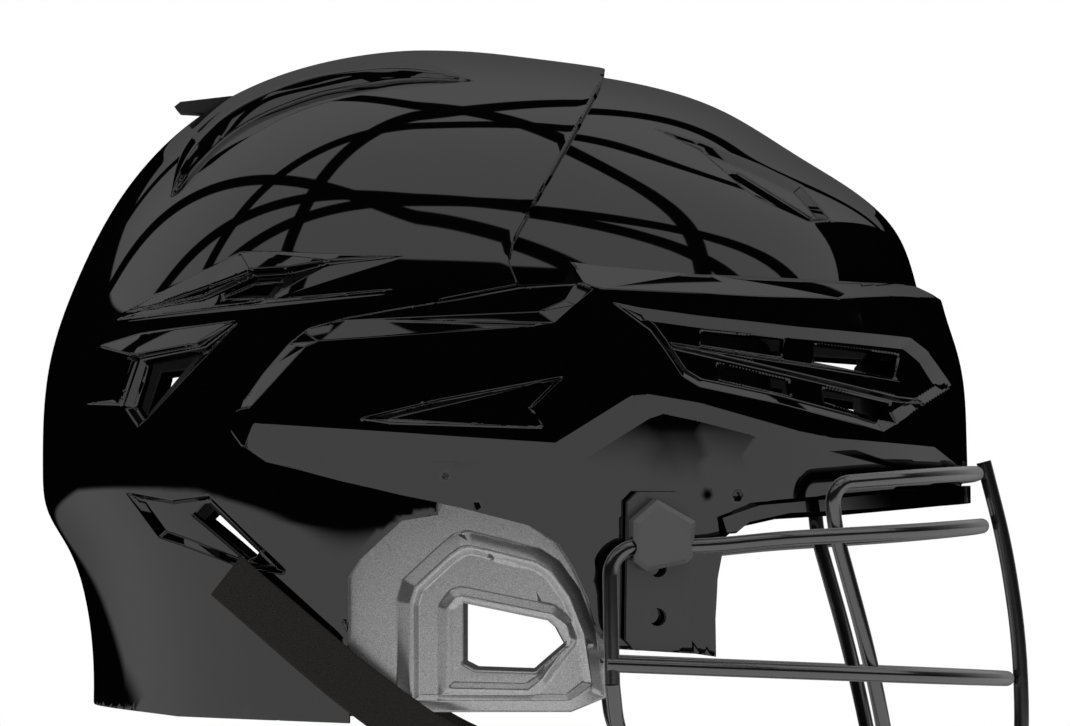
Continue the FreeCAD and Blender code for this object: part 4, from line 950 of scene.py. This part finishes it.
@dataclass
class Cushion:
    """Foam pad in a fabric skin, puffed by a short cloth run."""

    node: str
    body: str
    fill: float = 0.7
    cap: float = 2.0
    voxel: float = 4.0

    def build(self) -> bpy.types.Object:
        """Copy the CAD node, remesh it, puff it up and let it stand for the node."""
        source = frame["nodes"][self.node]
        made = bpy.data.objects.new(self.node + "_cover", source.data.copy())
        bpy.context.scene.collection.objects.link(made)
        made.data.materials.clear()
        made.data.materials.append(PAD.material())
        self.apply(made, "REMESH", {"mode": "VOXEL", "voxel_size": self.voxel * MM})
        rest = self.spots(made)
        pull = made.modifiers.new("draw", "SMOOTH")
        pull.factor, pull.iterations = 0.5, 4
        self.settle(made)
        start = self.spots(made)
        start = rest + np.clip(start - rest, -1.2 * MM, 1.2 * MM)
        made.data.vertices.foreach_set("co", start.ravel())
        self.puff(made, start)
        self.apply(made, "SUBSURF", {"levels": 1, "render_levels": 1})
        made.data.polygons.foreach_set("use_smooth", [True] * len(made.data.polygons))
        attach(made, self.body)
        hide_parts(self.node)
        log.info("%s: %d points", made.name, len(made.data.vertices))
        return made

    def puff(self, made: bpy.types.Object, start: np.ndarray) -> None:
        """Run the cloth for 20 frames and keep each point within the cap of its start."""
        cloth = made.modifiers.new("puff", "CLOTH")
        cloth.settings.quality = 5
        cloth.settings.use_pressure = True
        cloth.settings.uniform_pressure_force = 4
        cloth.settings.effector_weights.gravity = 0
        cloth.settings.tension_stiffness = 25
        for number in range(1, 21):
            bpy.context.scene.frame_set(number)
        self.settle(made)
        moved = self.spots(made) - start
        far = np.linalg.norm(moved, axis=1)
        moved *= np.minimum(1, self.cap * MM * 0.4 / np.maximum(far, 1e-9))[:, None]
        made.data.vertices.foreach_set("co", (start + moved).ravel())
        bpy.context.scene.frame_set(1)

    @staticmethod
    def spots(made: bpy.types.Object) -> np.ndarray:
        """Point positions of a mesh object."""
        flat = np.zeros(len(made.data.vertices) * 3)
        made.data.vertices.foreach_get("co", flat)
        return flat.reshape(-1, 3)

    @staticmethod
    def settle(made: bpy.types.Object) -> None:
        """Turn the modified shape into the object's own mesh."""
        shown = made.evaluated_get(bpy.context.evaluated_depsgraph_get())
        data = bpy.data.meshes.new_from_object(shown)
        made.modifiers.clear()
        made.data = data

    @classmethod
    def apply(cls, made: bpy.types.Object, kind: str, settings: dict) -> None:
        """Add one modifier and apply it at once."""
        extra = made.modifiers.new(kind.lower(), kind)
        for name, value in settings.items():
            setattr(extra, name, value)
        cls.settle(made)


@dataclass
class ChinStraps:
    """Flat webbing from the side anchors along the jaw to the chin cup."""

    body: str = "chin_strap"
    wide: float = 15.0
    thick: float = 1.6
    route: tuple = ((-82.4, -29.9), (-66.0, -44.0), (-46.0, -61.2), (-22.0, -79.0))
    lifts: tuple = (5.4, 4.6, 4.2, 3.0)
    free: tuple = ((8.0, -90.0, -92.5), (36.0, -77.0, -99.5), (60.0, -59.0, -106.0), (78.0, -45.0, -109.5))

    def centre(self) -> np.ndarray:
        """Smooth centre line of the right strap."""
        spots = []
        for (x, z), lift in zip(self.route, self.lifts):
            flat = np.array([[x, z]])
            y = -(float(BASE.side(*flat.T)[0]) + lift)
            spots.append((x, y, z))
        spots += list(self.free)
        points = np.array(spots)
        share = np.linspace(0, 1, 161)
        chords = np.linalg.norm(np.diff(points, axis=0), axis=1)
        knots = np.concatenate([[0], np.cumsum(chords)]) / chords.sum()
        flat = np.column_stack([np.interp(share, knots, points[:, axis]) for axis in range(3)])
        for _ in range(60):
            flat[1:-1] = (flat[:-2] + 2 * flat[1:-1] + flat[2:]) / 4
        return flat

    def mesh(self) -> tuple[dict[str, np.ndarray], np.ndarray]:
        """Sweep a flat section with rounded edges along the centre line.

        Returns:
            The mesh and, for each loop, how far along and across the webbing it is.
        """
        centre = self.centre()
        along = np.gradient(centre, axis=0)
        along /= np.linalg.norm(along, axis=1)[:, None]
        outward = np.cross(along, [0.0, 0.0, 1.0])
        outward /= np.linalg.norm(outward, axis=1)[:, None]
        outward *= np.where(outward[:, 1:2] > 0, -1, 1)
        across = np.cross(along, outward)
        half, depth = self.wide / 2, self.thick / 2
        turns = np.linspace(0, math.pi, 5)
        right = np.column_stack([half - depth + depth * np.sin(turns), depth * np.cos(turns)])
        top = np.column_stack([np.linspace(-half + depth, half - depth, 9)[1:-1], np.full(7, depth)])
        section = np.vstack([top, right, top[::-1] * [1, -1], right[::-1] * [-1, 1]])
        points = (centre[:, None] + section[None, :, :1] * across[:, None]
                  + section[None, :, 1:] * outward[:, None]).reshape(-1, 3)
        rows, cols = len(centre), len(section)
        here = np.arange(rows - 1)[:, None] * cols + np.arange(cols)[None]
        there = np.arange(rows - 1)[:, None] * cols + (np.arange(cols)[None] + 1) % cols
        quads = np.stack([here, there, there + cols, here + cols], axis=-1).reshape(-1, 4)
        first = np.arange(cols)
        last = (rows - 1) * cols + first
        reach = np.concatenate([[0], np.cumsum(np.linalg.norm(np.diff(centre, axis=0), axis=1))])
        spread = np.column_stack([np.repeat(reach, cols), np.tile(section[:, 0], rows)])
        return {"points": points, "faces": quads, "ends": (first[::-1], last)}, spread

    def build(self) -> list[bpy.types.Object]:
        """Make both straps and let them stand for their CAD nodes."""
        mesh, spread = self.mesh()
        made = []
        for name, sign in (("right", 1.0), ("left", -1.0)):
            faces = mesh["faces"].tolist() + [end.tolist() for end in mesh["ends"]]
            if sign < 0:
                faces = [face[::-1] for face in faces]
            data = bpy.data.meshes.new("chin_strap_web_" + name)
            data.from_pydata((mesh["points"] * [1, sign, 1] * MM).tolist(), [], faces)
            data.polygons.foreach_set("use_smooth", [True] * len(data.polygons))
            data.materials.append(WEBBING.material())
            layer = data.uv_layers.new(name="webbing")
            corners = np.zeros(len(data.loops), int)
            data.loops.foreach_get("vertex_index", corners)
            layer.data.foreach_set("uv", spread[corners].ravel())
            strap = bpy.data.objects.new(data.name, data)
            bpy.context.scene.collection.objects.link(strap)
            self.face_outward(strap)
            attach(strap, self.body)
            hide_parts("chin_strap_" + name)
            log.info("%s: %d points", strap.name, len(data.vertices))
            made.append(strap)
        return made

    @staticmethod
    def face_outward(made: bpy.types.Object) -> None:
        """Flip the faces if the closed mesh's volume comes out negative."""
        data = made.data
        data.calc_loop_triangles()
        spots = Cushion.spots(made)
        tris = np.array([tri.vertices[:] for tri in data.loop_triangles])
        corner = spots[tris]
        volume = np.einsum("ij,ij->i", corner[:, 0], np.cross(corner[:, 1], corner[:, 2])).sum()
        if volume < 0:
            data.flip_normals()


@dataclass
class Studio:
    """Camera, white surroundings and the soft panels that the gloss mirrors."""

    spot: tuple = (9.2, -2850.0, -43.0)
    aim: tuple = (9.2, 0.0, 35.9)
    lens: float = 312.0
    ceiling: float = 1.28
    floor: float = 1.25
    roof_edge: tuple = (0.465, 0.475)
    gap_edge: tuple = (0.030, 0.036)
    # Ceiling gaps, each the flat sheet a x + b y + c z = 0 through the helmet.
    gaps: tuple = ((1.15, 1.0, 0.88), (0.0, 1.0, 0.69), (1.25, 1.0, -0.235), (-0.37, 1.0, -0.03),
                   (-1.45, 1.0, -0.16), (0.34, 1.0, 0.67))

    def camera(self) -> None:
        """Place the camera at the photograph's view."""
        data = bpy.data.cameras.new("camera")
        data.lens, data.sensor_width = self.lens, 36.0
        data.clip_start, data.clip_end = 0.1, 20.0
        made = bpy.data.objects.new("camera", data)
        bpy.context.scene.collection.objects.link(made)
        spot, aim = Vector(self.spot) * MM, Vector(self.aim) * MM
        made.location = spot
        made.rotation_euler = (aim - spot).to_track_quat("-Z", "Y").to_euler()
        bpy.context.scene.camera = made

    def world(self) -> None:
        """Build the surroundings: white to the camera, panels to the gloss, soft to the rest."""
        world = bpy.data.worlds.new("studio")
        bpy.context.scene.world = world
        world.use_nodes = True
        tree = world.node_tree
        tree.nodes.clear()
        place = tree.nodes.new("ShaderNodeTexCoord")
        view = place.outputs["Generated"]
        split = tree.nodes.new("ShaderNodeSeparateXYZ")
        tree.links.new(view, split.inputs["Vector"])

        def math_node(kind: str, first, second=0.0):
            node = tree.nodes.new("ShaderNodeMath")
            node.operation = kind
            for socket, value in zip(node.inputs, (first, second)):
                if isinstance(value, (int, float)):
                    socket.default_value = value
                else:
                    tree.links.new(value, socket)
            return node.outputs["Value"]

        def plane(a: float, b: float, c: float):
            size = math.sqrt(a * a + b * b + c * c)
            node = tree.nodes.new("ShaderNodeVectorMath")
            node.operation = "DOT_PRODUCT"
            node.inputs[1].default_value = (a / size, b / size, c / size)
            tree.links.new(view, node.inputs[0])
            return node.outputs["Value"]

        def step(value, low: float, high: float):
            node = tree.nodes.new("ShaderNodeMapRange")
            node.interpolation_type = "SMOOTHSTEP"
            node.inputs["From Min"].default_value = low
            node.inputs["From Max"].default_value = high
            tree.links.new(value, node.inputs["Value"])
            return node.outputs["Result"]

        x, y, z = (split.outputs[axis] for axis in "XYZ")
        edge = math_node("ADD", math_node("MULTIPLY", y, 0.14), math_node("MULTIPLY", x, 0.10))
        upward = step(math_node("SUBTRACT", z, math_node("ABSOLUTE", x)), -0.02, 0.05)
        rim = math_node("MULTIPLY", math_node("MULTIPLY", step(y, 0.5, 0.95), 0.30), upward)
        front = math_node("MULTIPLY", math_node("MAXIMUM", math_node("SUBTRACT", x, 0.45), 0.0), -1.1)
        front = math_node("MULTIPLY", front, step(y, 0.0, 0.2))
        rear = math_node("MULTIPLY", math_node("MAXIMUM", math_node("SUBTRACT", -0.35, x), 0.0), 0.3)
        for part in (rim, front, rear):
            edge = math_node("ADD", edge, part)
        roof = step(math_node("ADD", z, edge), *self.roof_edge)
        for gap in self.gaps:
            roof = math_node("MULTIPLY", roof, step(math_node("ABSOLUTE", plane(*gap)), *self.gap_edge))
        half_angle = math_node("SQRT", math_node("MAXIMUM", math_node("MULTIPLY",
                               math_node("SUBTRACT", 1.0, y), 0.5), 0.0))
        sheen = math_node("ADD", 0.04, math_node("MULTIPLY", 0.96, math_node(
            "POWER", math_node("SUBTRACT", 1.0, half_angle), 5.0)))
        even = math_node("DIVIDE", 0.04, sheen)
        roof = math_node("MULTIPLY", math_node("MULTIPLY", roof, self.ceiling), even)
        hump = math_node("SUBTRACT", 1.0, math_node("POWER", math_node("DIVIDE", math_node(
            "ADD", x, 0.45), 0.38), 2.0))
        edge = math_node("ADD", math_node("MULTIPLY", math_node("MAXIMUM", hump, 0.0), 0.06),
                         math_node("MULTIPLY", step(x, 0.0, 0.2), -0.03))
        low = math_node("MULTIPLY", step(math_node("SUBTRACT", math_node("MULTIPLY", z, -1.0), edge), 0.045,
                                         0.09), self.floor)
        low = math_node("MULTIPLY", low, even)
        mirror = math_node("ADD", roof, low)
        soft = math_node("ADD", 0.62, math_node("MULTIPLY", z, 0.42))
        path = tree.nodes.new("ShaderNodeLightPath")
        blend = tree.nodes.new("ShaderNodeMix")
        blend.data_type = "FLOAT"
        tree.links.new(path.outputs["Is Glossy Ray"], blend.inputs["Factor"])
        tree.links.new(soft, blend.inputs["A"])
        tree.links.new(mirror, blend.inputs["B"])
        shown = tree.nodes.new("ShaderNodeMix")
        shown.data_type = "FLOAT"
        tree.links.new(path.outputs["Is Camera Ray"], shown.inputs["Factor"])
        tree.links.new(blend.outputs["Result"], shown.inputs["A"])
        shown.inputs["B"].default_value = 1.0
        back = tree.nodes.new("ShaderNodeBackground")
        back.inputs["Color"].default_value = (1, 1, 1, 1)
        tree.links.new(shown.outputs["Result"], back.inputs["Strength"])
        out = tree.nodes.new("ShaderNodeOutputWorld")
        tree.links.new(back.outputs["Background"], out.inputs["Surface"])

    def build(self) -> None:
        """Set up the whole studio."""
        self.camera()
        self.world()
        scene = bpy.context.scene
        scene.view_settings.view_transform = "Standard"
        scene.view_settings.look = "None"


def dress_frame() -> None:
    """Give every CAD node but the woven ones the finish of its material slot."""
    slots = {part["node"]: part["material_slot"] for part in frame["record"]["subparts"]}
    for name, node in frame["nodes"].items():
        finish = SLOT_FINISH[slots[name]]
        if finish.weave:
            continue
        node.data.materials.clear()
        node.data.materials.append(finish.material())


def main() -> None:
    """Dress the frame piece by piece."""
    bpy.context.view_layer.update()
    dress_frame()
    RearShell().build()
    FrontShell().build()
    EarGuards().build()
    for body, members in frame["record"]["behaviour"]["bodies"].items():
        for node in members:
            if node.endswith("_pad") or "_pad_" in node:
                Cushion(node, body).build()
    ChinStraps().build()
    Studio().build()


if __name__ == "__main__":
    main()
